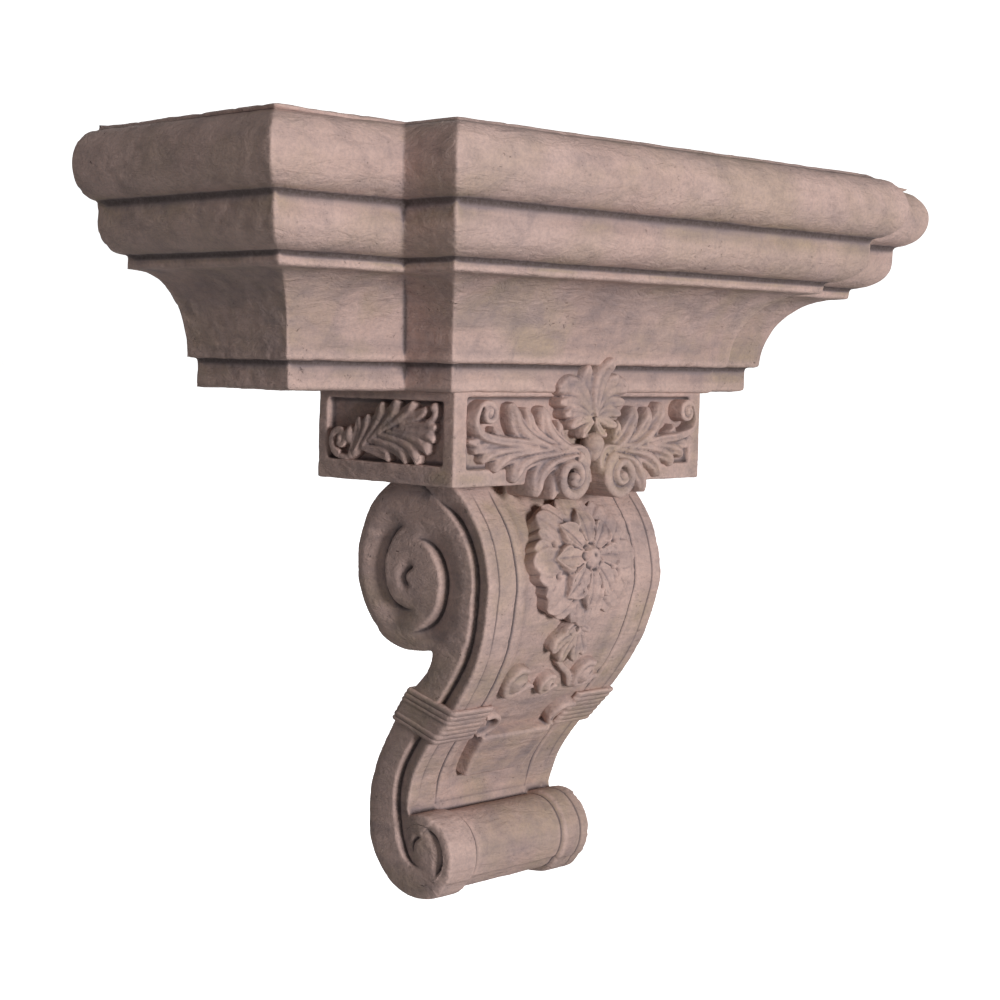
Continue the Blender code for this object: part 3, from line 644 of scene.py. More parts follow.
def cast_group():
    """Colour, roughness and height of worn cast terracotta, from the piece's own place and relief, with
    painted shade in its hollows and fine lines.
    """
    group = bpy.data.node_groups.new("worn_cast", "ShaderNodeTree")
    colours = (("Body", (0.5, 0.36, 0.31)), ("Pale", (0.6, 0.46, 0.4)), ("Ochre", (0.4, 0.3, 0.22)),
               ("Patina", (0.3, 0.24, 0.23)), ("Dirt", (0.1, 0.07, 0.06)))
    sockets = [(label, "INPUT", "NodeSocketColor", (*value, 1)) for label, value in colours]
    sockets += [("Patina Amount", "INPUT", "NodeSocketFloat", 0.5),
                ("Grain Size", "INPUT", "NodeSocketFloat", 1.0),
                ("Colour", "OUTPUT", "NodeSocketColor", None),
                ("Roughness", "OUTPUT", "NodeSocketFloat", None),
                ("Height", "OUTPUT", "NodeSocketFloat", None)]
    for label, way, kind, value in sockets:
        socket = group.interface.new_socket(name=label, in_out=way, socket_type=kind)
        if value is not None:
            socket.default_value = value
    add = adder(group)
    given = add("NodeGroupInput", {}).outputs
    place = add("ShaderNodeTexCoord", {}).outputs["Object"]

    def noise(scale, detail=4.0, rough=0.55, stretch=None, distort=0.0):
        where = add("ShaderNodeMapping", {"Vector": place, "Scale": stretch}).outputs[0] if stretch else place
        return add("ShaderNodeTexNoise", {"Vector": where, "Scale": scale, "Detail": detail,
                                          "Roughness": rough, "Distortion": distort}).outputs["Fac"]

    def remap(value, low, high, to_low=0.0, to_high=1.0):
        return add("ShaderNodeMapRange", {"Value": value, "From Min": low, "From Max": high,
                                          "To Min": to_low, "To Max": to_high}).outputs[0]

    def number(kind, a, b):
        return add("ShaderNodeMath", {0: a, 1: b}, operation=kind).outputs[0]

    def mix(amount, under, label):
        return add("ShaderNodeMix", {0: amount, 6: under, 7: given[label]}, data_type="RGBA").outputs[2]

    def relief(name):
        return add("ShaderNodeAttribute", {}, attribute_name=name).outputs["Fac"]

    hollow, edge = relief("hollow"), relief("edge")
    cloud = noise(5.5, 5.0, 0.62)
    warmth = noise(8.5, 4.0, 0.6, distort=0.5)
    blotch = noise(30.0, 6.0, 0.68, distort=0.5)
    streak = noise(26.0, 5.0, 0.65, stretch=(0.22, 0.22, 1.7))
    speck = noise(300.0, 3.0, 0.7)

    # Body, pale clouds and ochre patches, then patina over them, heaviest in the hollows where it is partly
    # painted shade, and rubbed ridges and edges.
    colour = mix(remap(cloud, 0.38, 0.62), given["Body"], "Pale")
    colour = mix(remap(warmth, 0.44, 0.62, 0.0, 0.85), colour, "Ochre")
    haze = number("ADD", remap(streak, 0.44, 0.66, 0.0, 0.75), remap(blotch, 0.46, 0.68, 0.0, 0.75))
    # Patina in the hollows, partly painted shade: it darkens creases and recesses where shade falls.
    haze = number("ADD", haze, remap(hollow, 0.04, 0.6, 0.0, 1.5))
    haze = number("MULTIPLY", haze, given["Patina Amount"])
    colour = mix(add("ShaderNodeClamp", {"Value": haze, "Max": 0.92}).outputs[0], colour, "Patina")
    ridge = number("MULTIPLY", remap(hollow, -0.06, -0.55), remap(blotch, 0.3, 0.62, 0.75, 0.3))
    colour = mix(ridge, colour, "Pale")
    worn = number("MULTIPLY", remap(edge, 0.25, 0.95), remap(noise(60.0, 3.0), 0.3, 0.65, 0.0, 0.45))
    colour = mix(worn, colour, "Pale")

    # Painted shade in the deep hollows and the fine lines, and dirt in the pits.
    colour = mix(number("MULTIPLY", remap(hollow, 0.3, 0.9), 0.75), colour, "Dirt")
    # Painted shade: the fine lines are darkened where shade falls in them.
    colour = mix(remap(edge, -0.22, -0.95, 0.0, 0.55), colour, "Dirt")
    gather = remap(noise(13.0, 4.0, 0.6), 0.5, 0.64, 0.0, 0.7)
    pit = number("MULTIPLY", remap(noise(230.0, 3.0, 0.6, distort=0.6), 0.64, 0.72), gather)
    small = number("MULTIPLY", remap(noise(560.0, 2.0, 0.6), 0.62, 0.72), remap(blotch, 0.5, 0.66, 0.0, 0.5))
    pits = number("MAXIMUM", pit, small)
    colour = mix(pits, colour, "Dirt")
    colour = mix(remap(speck, 0.4, 0.72, 0.0, 0.38), colour, "Patina")

    grain = number("MULTIPLY", noise(420.0, 4.0, 0.65), 0.5)
    rub = number("MULTIPLY", noise(70.0, 6.0, 0.68, stretch=(0.5, 0.5, 1.3), distort=0.8), 2.6)
    height = number("ADD", number("ADD", grain, rub), number("MULTIPLY", pits, -1.0))
    add("NodeGroupOutput", {"Colour": colour, "Roughness": remap(blotch, 0.3, 0.7, 0.84, 0.96),
                            "Height": number("MULTIPLY", height, given["Grain Size"])})
    return group


def finish_for(name, patina_and_shade_amount=None):
    """Matte terracotta with patina and painted shade in its hollows; the shader's own values stay on it."""
    s = bpy.context.scene.bracket_settings
    material = bpy.data.materials.new(name)
    material.use_nodes = True
    tree = material.node_tree
    add = adder(tree)
    amount = s.patina_and_shade_amount if patina_and_shade_amount is None else patina_and_shade_amount
    group = add("ShaderNodeGroup", {}, node_tree=bpy.data.node_groups.get("worn_cast") or cast_group())
    for label, value in (("Body", s.body_colour), ("Pale", s.pale_colour), ("Ochre", s.ochre_colour),
                         ("Patina", s.patina_colour), ("Dirt", (0.07, 0.05, 0.045))):
        group.inputs[label].default_value = (*value, 1)
    group.inputs["Patina Amount"].default_value = amount
    raise_up = add("ShaderNodeBump", {"Strength": s.grain, "Distance": GRAIN_HEIGHT,
                                      "Height": group.outputs["Height"]})
    shader = tree.nodes["Principled BSDF"]
    for socket, source in (("Base Color", group.outputs["Colour"]), ("Roughness", group.outputs["Roughness"]),
                           ("Normal", raise_up.outputs["Normal"])):
        tree.links.new(source, shader.inputs[socket])
    shader.inputs["Specular IOR Level"].default_value = 0.25
    return material


# Shelf.

def shelf_profile():
    """Offset and height from the middle of the soffit round to the middle of the top."""
    def arc(cx, cz, rx, rz, a0, a1, steps):
        a = np.radians(np.linspace(a0, a1, steps))
        return [(cx + rx * math.cos(t), cz + rz * math.sin(t)) for t in a]

    middle, half = 0.5 * (TORUS_FOOT + TORUS_TOP), 0.5 * (TORUS_TOP - TORUS_FOOT)
    inner, springing = FILLET_OFFSET + 2, BAND_HEIGHT + 1
    bends = [(CAP_INSET, 0), (0, 0), (0, BAND_HEIGHT), (COVE_FOOT, springing)]
    bends += arc(COVE_HEAD, springing, COVE_FOOT - COVE_HEAD, COVE_TOP - springing, 4, 90, 24)
    bends += [(FILLET_OFFSET, COVE_TOP + 0.5), (FILLET_OFFSET, FILLET_TOP)]
    bends += arc(inner, OVOLO_SHOULDER, OVOLO_OFFSET - inner, OVOLO_SHOULDER - FILLET_TOP, -88, 0, 16)
    bends += [(OVOLO_OFFSET, TORUS_FOOT - 1)]
    bends += arc(OVOLO_OFFSET, middle, TORUS_OFFSET - OVOLO_OFFSET, half, -86, 86, 34)
    bends += [(TOP_OFFSET, TORUS_TOP), (TOP_OFFSET, SHELF_HEIGHT), (CAP_INSET, SHELF_HEIGHT)]
    dense = [np.array(bends[0], float)]
    for a, b in zip(bends[:-1], bends[1:]):
        a, b = np.array(a, float), np.array(b, float)
        length = np.linalg.norm(b - a)
        is_cap = length > 60
        steps = max(1, int(round(length / (CAP_STEP if is_cap else PROFILE_STEP))))
        dense += [a + (b - a) * k / steps for k in range(1, steps + 1)]
    return np.array(dense)


def side_spacing(length):
    """Distances along an edge, closer together towards its ends."""
    last = CORNER_STEPS[-1]
    count = max(2, int(round((length - 2 * last) / EDGE_STEP)))
    middle = np.linspace(last, length - last, count + 1)
    return np.array([*CORNER_STEPS[:-1], *middle, *(length - x for x in CORNER_STEPS[-2::-1])]) / length


def shelf_parts():
    """Grid of the shelf's skin: each ring is the plan at one level."""
    profile = shelf_profile()
    corners = ((WING_HALF_WIDTH, 0), (WING_HALF_WIDTH, -WING_DEPTH), (CENTRE_HALF_WIDTH, -WING_DEPTH),
               (CENTRE_HALF_WIDTH, -CENTRE_DEPTH))
    base = np.array([(-x, y) for x, y in corners] + list(corners[::-1]), float)
    grow = np.array([(-1, 0)] + [(-1, -1)] * 3 + [(1, -1)] * 3 + [(1, 0)], float)
    widest = base + grow * 100
    weights, corner = [], []
    for k in range(7):
        for s in side_spacing(np.linalg.norm(widest[k + 1] - widest[k]))[:-1]:
            weights.append((k, s))
            corner.append(s == 0.0 and k > 0)
    back = np.linspace(0, 1, BACK_STEPS + 1)[:-1]
    weights += [(7, s) for s in back]
    corner += [False] * len(back)
    keys = np.array([w[0] for w in weights])
    share = np.array([w[1] for w in weights])[:, None]
    rings = []
    for offset, height in profile:
        plan = base + grow * offset
        if offset == TOP_OFFSET and height >= TORUS_TOP:
            plan[[1, 6]] += grow[[1, 6]] * LEDGE_REACH
        start, stop = plan[keys], plan[(keys + 1) % 8]
        rings.append(np.hstack([start + (stop - start) * share, np.full((len(keys), 1), height)]))
    grid = np.array(rings)
    soft = np.zeros(len(keys))
    for i in np.flatnonzero(corner):
        soft[i - 3:i + 4] = 1.0
    for _ in range(5):
        step = 0.25 * (np.roll(grid, 1, 1) + np.roll(grid, -1, 1)) - 0.5 * grid
        grid += step * soft[None, :, None]
    for _ in range(2):
        step = np.zeros_like(grid)
        step[1:-1] = 0.25 * (grid[2:] + grid[:-2]) - 0.5 * grid[1:-1]
        grid += step * (np.abs(grid[..., 1:2]) > 0.01)
    return grid.reshape(-1, 3) + [0, 0, FOOT_Z], capped(*grid.shape[:2])


# Console.

def console_outline(barrel):
    """Closed side outline as (depth, drop); between the collars the foot is the barrel."""
    front = even(smooth_curve(FRONT_OUTLINE), FRONT_POINTS)[:-1]
    meet_depth, meet_drop = FRONT_OUTLINE[-1]
    start = math.atan2(ROLL_AXIS[1] - meet_drop, meet_depth - ROLL_AXIS[0])
    a = np.linspace(start, -math.radians(38), ARC_POINTS)
    radius = BARREL_RADIUS if barrel else COLLAR_RADIUS
    roll = np.stack([ROLL_AXIS[0] + radius * np.cos(a), ROLL_AXIS[1] - radius * np.sin(a)], 1)
    under = even(smooth_curve(UNDER_OUTLINE), ARC_POINTS)
    if barrel:
        away = under - ROLL_AXIS
        away /= np.linalg.norm(away, axis=1, keepdims=True)
        t = np.minimum(np.linspace(0.05, 1, len(under)), 0.999)
        under = under - away * (6.0 * np.sqrt(np.sin(math.pi * t)))[:, None]
    back = even(smooth_curve(LOWER_BACK[2:]), LOWER_POINTS)
    volute = even(smooth_curve(VOLUTE_BACK), VOLUTE_POINTS)[1:]
    points = np.vstack([front, roll, under, LOWER_BACK[:2], back, volute])
    points[:, 0] = np.maximum(points[:, 0], 0)
    return points


def console_parts():
    """The console as a straight prism; its taper comes after the carving."""
    side, middle = console_outline(False), console_outline(True)
    outer, inner = HEAD_HALF_WIDTH, HEAD_HALF_WIDTH - COLLAR_WIDTH
    places = ((-outer, side), (-inner, side), (COLLAR_STEP - inner, middle),
              (inner - COLLAR_STEP, middle), (inner, side), (outer, side))
    rings = [np.stack([np.full(len(shape), x), -shape[:, 0], -shape[:, 1]], 1) for x, shape in places]
    return np.vstack(rings), capped(len(rings), len(side))


def side_relief(points):
    """How far the carved side lies under its flat face, at (depth, drop) points."""
    sunk = np.zeros(len(points))
    raised = np.zeros(len(points))
    for line, slope, steep, deep, open_side, bow in SCROLLS:
        distance, side, along = nearest(points, even(smooth_curve(line), 60))
        is_open = side * open_side > 0
        ends = np.minimum(along, 1 - along) * 3.6
        if line is RIM_LINE:
            ends = np.minimum(along * 12, (1 - along) * 10)
            raised = SIDE_RAISE * rising(side * open_side * distance / RAISE_RUN) * rising(1 - along, 5)
        ends = rising(ends)
        ease = ends * ends * (3 - 2 * ends)
        wide = np.where(is_open, slope, steep) * (0.55 + 0.45 * ease)
        bowl = rising(1 - distance / wide) ** np.where(is_open, bow, 1.4)
        sunk = np.maximum(sunk, ease * (deep * bowl + 2.2 * bump_at(distance, 0, 1.3)))
    outline = console_outline(False)
    to_front, _, _ = nearest(points, FRONT_CURVE)
    to_back, _, _ = nearest(points, np.vstack([outline[FRONT_POINTS - 2 + ARC_POINTS:], outline[:1]]))
    sunk = np.maximum(sunk, 1.4 * rising(1 - to_back / 12.0) ** 1.5)
    sunk = np.maximum(sunk, 1.2 * rising(1 - to_front / 3.0) ** 2)
    return sunk - raised


def border_relief(inset, drop):
    """How far the console's front lies under its outline, by distance in from the side and drop."""
    a = inset
    strip = 0.9 * ((a - 8.0) / 8.0) ** 2
    line = 1.5 * np.clip((270 - drop) / 60, 0.15, 1) * bump_at(a, 14.5, 1.2) + 0.6
    fillet = 0.6 + 0.3 * np.abs((a - 26) / 10)
    groove = 3.4 * bump_at(a, 38.8, 1.35) + 0.9
    bead = 0.9 + 0.25 * ((a - 44.0) / 3.6) ** 2
    out = np.where(a < 13.5, strip, np.maximum(line, np.where(a < 36, fillet, groove)))
    out = np.where(a > 41.8, bead, out)
    wall = bump_at(np.maximum(a - BORDER_WIDTH, 0), 0, FIELD_WALL)
    return np.where(a > BORDER_WIDTH, FIELD_SINK + (1.1 - FIELD_SINK) * wall, out)


def pressed_front(flat, inset):
    """The side-view points with the front borders and the field sunk along the front's normal."""
    front = FRONT_CURVE
    distance, _, along = nearest(flat, front)
    zone = (distance < PRESS_DEPTH) & (along < 0.999) & (flat[:, 1] < 408)
    span = along * (len(front) - 1)
    i = np.clip(span.astype(int), 0, len(front) - 2)
    way = front[i + 1] - front[i]
    foot = front[i] + way * (span - i)[:, None]
    way = way / np.linalg.norm(way, axis=1, keepdims=True)
    normal = np.stack([way[:, 1], -way[:, 0]], 1)
    inward = np.einsum("ij,ij->i", flat - foot, normal)
    sink = border_relief(inset, flat[:, 1]) * rising(1 - along, 10) * rising((flat[:, 1] - 88) / 20)
    share = 1 - np.clip(-inward, 0, PRESS_DEPTH) / PRESS_DEPTH
    press = np.where(zone & (inward > -PRESS_DEPTH), sink * share, 0)
    return flat - normal * press[:, None]


def ringed_roll(flat, inset, right):
    """The side-view points with the collars' lines and rounded lips cut into the roll."""
    hub = flat - ROLL_AXIS
    reach = np.hypot(hub[:, 0], hub[:, 1])
    on_roll = (reach > BARREL_RADIUS - 6) & (hub[:, 0] > -24) & (hub[:, 1] > -COLLAR_RADIUS - 1)
    on_roll &= (hub[:, 0] > -5) | (hub[:, 1] < 0)
    ring = 1.9 * bump_at(inset, 13.5, 1.8) * right + 2.2 * bump_at(inset - COLLAR_WIDTH, 1, 2.2)
    lip = 2.6 * (1 - np.sqrt(rising(1 - (np.clip(3.2 - inset, 0, 3.2) / 3.2) ** 2)))
    return flat - hub / np.maximum(reach, 1)[:, None] * np.where(on_roll, ring + lip, 0)[:, None]


def carve_console(p):
    """Press the side scrolls, the front borders and the roll's lines into the straight prism."""
    inset = HEAD_HALF_WIDTH - np.abs(p[:, 0])
    side_view = np.stack([-p[:, 1], -p[:, 2]], 1)
    flat = ringed_roll(pressed_front(side_view, inset), inset, p[:, 0] > 0)
    edge = inset < SIDE_ZONE
    sunk = np.zeros(len(p))
    sunk[edge] = side_relief(side_view[edge])
    inset = np.where(edge, sunk + inset * (SIDE_ZONE - sunk) / SIDE_ZONE, inset)
    width = half_width(flat[:, 1])
    inner = (HEAD_HALF_WIDTH - inset) * (width - KEEP_BORDER) / (HEAD_HALF_WIDTH - KEEP_BORDER)
    x = np.where(inset < KEEP_BORDER, width - inset, inner)
    return np.stack([np.sign(p[:, 0]) * x, -flat[:, 0], -flat[:, 1]], 1)


# Block carving. Lobes are (root, tip, width, flutes, rise).

def acanthus_arm():
    """Right-hand arm: hanging volute, midrib, corner curl and two rows of lobes."""
    midrib = [(13, -74), (9.5, -62), (17, -52), (36, -51.5), (62, -50), (96, -45), (128, -42), (150, -36),
              (157, -24), (150, -9)]
    parts = [coil((34.5, -77.0), 25.5, 12.0, 1.62, 112, 1, 20, 24, 42, 150),
             boss((34.5, -77.5), (5.0, 5.0, 8.0), 17),
             finger(midrib, 9.5, 16, 8, 0.2, 0, 0.95, 0, 0.3, 0, 70),
             coil((141.5, -18.0), 13.0, 7.0, 1.3, 40, 1, 12, 14, 8, 80),
             boss((141.5, -18.0), (3.5, 3.5, 5.0), 9)]
    upper = (((16, -61), (43, -25), 9, 1, 19), ((18, -57), (66, -12), 19, 2, 22),
             ((34, -55), (88, -13), 14, 1, 21), ((50, -53), (107, -8.5), 20, 2, 22),
             ((88, -47), (129, -30), 9, 1, 18))
    for root, tip, width, flutes, rise in upper:
        parts.append(lobe(root, tip, width, rise, 0.27, flutes, 8, 0.4, -6.5, 0.5, 0.22, 4))
    lower = (((15, -60), (54, -98), 14, 1, 22), ((28, -57), (77, -95), 19, 2, 24),
             ((45, -54), (104, -81), 19, 2, 23), ((62, -51), (127, -71), 17, 2, 22),
             ((78, -49), (143, -62.5), 15, 2, 21), ((94, -47), (153, -53), 13, 1, 19.5),
             ((110, -45), (159, -43), 10, 1, 17.5))
    for k, (root, tip, width, flutes, rise) in enumerate(lower):
        deep, fall = (34.0, 24.0, 12.0)[min(k, 2)], (0.25, 0.3, 0.42, 0.5)[min(k, 3)]
        parts.append(lobe(root, tip, width, rise, 0.17, flutes, deep, 0.4, -6.5, fall, 0.22, 3))
    return parts


def crest():
    """Middle of the block: leaf crest reaching over the shelf's band, and the bud below it."""
    parts = [boss((0, -12), (20, 14, 12), 0), boss((0, -47), (10.0, 11, 13), 9, 16, 24, 6)]
    tall = (([(1, -22), (2, -2), (6, 16), (13, 34)], 24, 21, 0.15, 0.2, -0.3, 5, 40, 33),
            ([(-2, -18), (-9, 0), (-13, 14), (-12, 27)], 19, 17, -0.1, 0.3, -0.1, 3, 34, 21),
            ([(2, -16), (13, 0), (23, 9), (34, 17)], 17, 16, 0.1, 0.3, 0, 3, 34, 21))
    for spine, width, rise, tilt, start, fall, curl, stations, across in tall:
        parts.append(finger(spine, width, rise, 12, 0.14, tilt, start, -5, fall, curl, stations, across))
    fan = (([(3, -17), (18, 2), (33, 8), (50, 4)], 23, 19),
           ([(3, -21), (18, -11), (31, -8), (46, -8)], 14, 17),
           ([(3, -23), (14, -18), (27, -17), (40, -20)], 13, 18),
           ([(2, -25), (11, -24), (22, -27), (33, -31)], 12, 19),
           ([(1, -26), (6, -30), (11, -35), (17, -41)], 10, 20))
    for spine, width, rise in fan:
        leaf = finger(spine, width, rise, 10, 0.14, 0.1, 0.35, -6, 0.12, 3, 34, 21)
        parts += [leaf, mirrored(leaf)]
    return parts


def spray():
    """Leaf spray for a side panel, in distances out from the wall and up from the shelf's foot."""
    midrib = [(30, -63), (43, -63), (58, -55), (72, -44), (88, -34), (106, -24), (124, -12)]
    parts = [coil((31.0, -48.0), 17.0, 8.0, 1.15, 268, -1, 1.5, 2.5, 14, 90),
             boss((43.5, -43), (7, 10.5, 8.5), -5), boss((31.5, -46.5), (5, 6, 6), -3),
             finger(midrib, 7, 8.5, 14, 0.15, 0, 0.9, -7, 0.3, 0, 46)]
    upper = (((44, -62), (57, -25), 13, 1), ((50, -60), (69, -22), 16, 2), ((62, -52), (88, -10.5), 18, 2),
             ((71, -47), (107, -8.5), 20, 2), ((85, -38), (129, -9.5), 17, 2), ((98, -30), (147, -14), 12, 1))
    lower = (((60, -54), (98, -64.5), 12, 1), ((72, -45), (121, -66), 15, 2),
             ((84, -40), (136, -65.5), 16, 2), ((96, -37), (149, -56), 16, 2),
             ((104, -35), (156, -44), 15, 2), ((112, -32), (158, -31), 12, 1))
    for lobes, early in ((upper, 0.42), (lower, 0.24)):
        for root, tip, width, flutes in lobes:
            parts.append(lobe(root, tip, width, 10.0, early, flutes, 14, 0.4, -8.0, 0.1, 0.16, 1))
    tip = [(146, -27), (153, -24), (157, -18), (155, -12)]
    parts.append(finger(tip, 7, 8, 14, 0, 0, 0.8, -7, 0.1, 0, 24))
    parts.append(boss((155, -14), (5, 5, 6), -4))
    return parts


# Console carving.

def blade(reach, widths, heights, rim, channel, root=12.0, stations=40, across=25):
    """A leaf along +X: widths and heights are (distance, value) pairs; rim and channel shape its face."""
    s = np.linspace(reach[0], reach[1], stations)
    wide = np.interp(s, *zip(*widths))
    wide = np.convolve(np.pad(wide, 2, mode="edge"), [0.1, 0.2, 0.4, 0.2, 0.1], "valid")
    high = np.interp(s, *zip(*heights))
    a = np.linspace(-1, 1, across)
    edge = rising(1 - np.abs(a), 8) ** 0.5
    face = rim * bump_at(np.abs(a), 0.8, 0.13) - channel * bump_at(a, 0, 0.2)
    ease = rising((s[-1] - s) / (0.2 * (s[-1] - s[0])))
    top = np.zeros((stations, across, 3))
    top[..., 0] = s[:, None]
    top[..., 1] = wide[:, None] * a[None, :]
    top[..., 2] = high[:, None] - 2.2 * (1 - edge)[None, :] + face[None, :] * (0.25 + 0.75 * ease)[:, None]
    under = top.copy()
    under[..., 2] = -root
    return slab(top, under)


def wreath_leaf():
    """One wreath leaf, pointing along +X from the ring: a broad lobe between two plump side lobes."""
    parts = [blade((-30, 15), ((-30, 9), (-14, 14), (-4, 14), (4, 12.5), (9, 11), (13, 7), (15, 1.5)),
                   ((-30, 11), (-10, 12), (4, 12.5), (15, 10)), 0.5, 1.2)]
    for side in (-1, 1):
        verts, quads = blade((-30, 10), ((-30, 8), (-16, 8), (-4, 8.5), (4, 7.5), (8, 4.5), (10, 1)),
                             ((-30, 11), (-10, 11.5), (4, 12), (10, 10)), 0.4, 0.8)
        parts.append((verts + [0, side * 13.5, 0], quads))
    return together(parts)


def flower_petal():
    """One pointed petal along +X: narrow at its root, broad past the eyes, with raised rims."""
    widths = ((0, 4.2), (5, 6.4), (11, 8.9), (16, 10.9), (19, 12.1), (24, 12.8), (29, 9.8),
              (32.5, 5.2), (36, 0.6))
    heights = ((0, 19.0), (10, 19.0), (22, 19.0), (30, 17.0), (36, 14.0))
    return blade((0, 36), widths, heights, 3.3, 2.4, 12.0, 60, 33)


def bud(centre, size, hand):
    """A folded bud: a plump body with its rim curling round to a tail."""
    u, v = centre
    rim = ((0.5, 0.75), (-0.35, 0.8), (-0.9, 0), (-0.4, -0.8), (0.6, -0.8), (1.3, -0.45), (1.9, -0.5))
    spine = [(u + hand * size * x, v + size * y) for x, y in rim]
    return [boss((u, v), (size, size * 0.85, 14), -4, 18, 30),
            finger(spine, size * 0.5, 6.5, 12, 0, 0, 0.8, 0, 0.4, 0, 44)]


def garland_parts(tree, material):
    """Wreath, flower, bellflower and buds, flat, centred on the console's middle line."""
    middle = (0, -FLOWER_DROP)
    common = {"Material": material}
    wreath = ring_of("wreath", wreath_leaf(), tree, **common, **{
        "Count": WREATH_LEAVES, "Radius Across": WREATH_RADIUS * MM,
        "Radius Up": WREATH_RADIUS * WREATH_SQUASH * MM, "Turn": 0.02, "Size Spread": 0.05,
        "Turn Spread": 0.06, "Seed": 5})
    petals = ring_of("petals", flower_petal(), tree, **common, **{
        "Count": bpy.context.scene.bracket_settings.petals, "Radius Across": PETAL_ROOT * MM,
        "Radius Up": PETAL_ROOT * MM, "Turn": 0.0, "Size Spread": 0.03, "Turn Spread": 0.03, "Seed": 2})
    parts = [(v + [0, -FLOWER_DROP, 0], q) for v, q in (wreath, petals)]
    buttons = (((46, 40, 10), -1), ((31, 30, 15), -1), ((17.5, 17.5, 9), 12), ((10.5, 10.5, 11), 14.5))
    parts += [boss(middle, size, base) for size, base in buttons]
    bells = (([(2, -214), (-8, -222), (-16, -228)], 8), ([(0, -214), (10, -221), (20, -226)], 8),
             ([(-2, -224), (-14, -232), (-27, -243)], 15), ([(0, -226), (-5, -242), (-10, -254)], 14),
             ([(2, -226), (8, -242), (12, -256)], 13), ([(3, -224), (14, -236), (23, -250)], 12))
    for spine, width in bells:
        parts.append(finger(spine, width, 9, 12, 0.3, 0, 0.4, 0, 0.15, 2, 24, 15))
    stem = [(-6, -256), (6, -264), (20, -272), (36, -286), (52, -286)]
    parts.append(finger(stem, 7, 4, 12, 0, 0, 0.8, 0, 0.2, 0, 30))
    return parts + bud((-51, -274), 15, 1) + bud((-4, -280), 10, 1) + bud((46, -274), 14, 1)


def drilled(points):
    """Drill the eyes of the wreath, the flower and the buds into the flat garland."""
    p = points.copy()
    turns = np.radians(np.arange(8) * 45 + 22.5)
    rings = ((WREATH_EYES, WREATH_SQUASH, 2.3), (PETAL_EYES, 1, 1.9))
    holes = [(radius * math.cos(a), -FLOWER_DROP + radius * squash * math.sin(a), size)
             for radius, squash, size in rings for a in turns]
    for u, v, size in holes + [(-47, -275, 2.2), (-3, -279, 1.8), (50, -273, 3.5)]:
        r = np.hypot(p[:, 0] - u, p[:, 1] - v)
        p[:, 2] -= np.where(p[:, 2] > -4, 6.5 * bump_at(r, 0, size), 0)
    across, up = p[:, 0], p[:, 1] + FLOWER_DROP
    r = np.hypot(across, up)
    press = 3.0 * bump_at(r, 0, 3.2) + 2.6 * bump_at(r, 12.0, 1.5)
    for a in turns:
        ahead = across * math.cos(a) + up * math.sin(a)
        aside = np.abs(up * math.cos(a) - across * math.sin(a))
        press += 4.0 * rising((ahead - 14) / 2) * rising((PETAL_EYES - ahead) / 2) * bump_at(aside, 0, 1.15)
    p[:, 2] -= np.where(p[:, 2] > 8, press, 0)
    p[:, 2] = np.maximum(p[:, 2], -14)
    p[:, 1] -= FLOWER_SQUEEZE * np.maximum(p[:, 1] + FLOWER_DROP, 0)
    return p


def band_line(back, front, along, inner, width):
    """One line round a band as (x, spot, outward across, outward in side view)."""
    c = BAND_CORNER
    turn = np.linspace(0.15, 0.85, 5) * math.pi / 2
    lines = [(inner + (width - c - inner) * s, back, 0, -along) for s in np.linspace(0, 1, 16)]
    for a in turn:
        x, spot = width - c + c * math.sin(a), back + along * c * (1 - math.cos(a))
        lines.append((x, spot, math.sin(a), -along * math.cos(a)))
    for s in np.linspace(0, 1, 26):
        lines.append((width, back + along * c + (front - back - 2 * c * along) * s, 1, along * 0))
    for a in turn:
        x, spot = width - c + c * math.cos(a), front - along * c * (1 - math.sin(a))
        lines.append((x, spot, math.cos(a), along * math.sin(a)))
    return lines + [(width - c + (inner - width + c) * s, front, 0, along) for s in np.linspace(0, 1, 24)]


def band_strip(sign):
    """Smooth strip wrapped round one border, with how far across it each point is and its way out."""
    head, foot = np.array(BAND_HEAD, float), np.array(BAND_FOOT, float)
    top, under, across, ways, plain = [], [], [], [], []
    for t in np.linspace(0, 1, BAND_ROWS):
        back, front = head + (foot - head) * t
        along = (front - back) / np.linalg.norm(front - back)
        width = float(half_width(0.5 * (back[1] + front[1])))
        inner = width - BORDER_WIDTH - 6.0
        lift = BAND_LIFT - 1.4 * (1 - math.sqrt(1 - min(1.0, abs(2 * t - 1)) ** 6))
        smooth_middle = min(1.0, max(0.0, (0.19 - abs(t - 0.55)) / 0.03))
        lines = band_line(back, front, along, inner, width)
        for x, spot, out_x, out_flat in lines:
            way = np.array([sign * out_x, -out_flat[0], -out_flat[1]])
            here = np.array([sign * x, -spot[0], -spot[1] + FOOT_Z])
            tuck = 3.0 * max(0.0, 1 - (x - inner) / 5.0) ** 2 if out_x == 0 else 0.0
            top.append(here + way * (lift - tuck))
            under.append(here - way * BAND_ROOT)
            ways.append(way)
            plain.append(1.0 - 0.85 * smooth_middle * out_x ** 2)
            across.append(t)
    shape = (BAND_ROWS, len(lines), 3)
    verts, quads = slab(np.reshape(top, shape), np.reshape(under, shape))
    count = len(verts) // 2
    values = {"across": (np.append(across, np.zeros(count)), "FLOAT", "value"),
              "plain": (np.append(plain, np.zeros(count)), "FLOAT", "value"),
              "out_way": (np.vstack([ways, np.zeros((count, 3))]).ravel(), "FLOAT_VECTOR", "vector")}
    return verts, quads, values


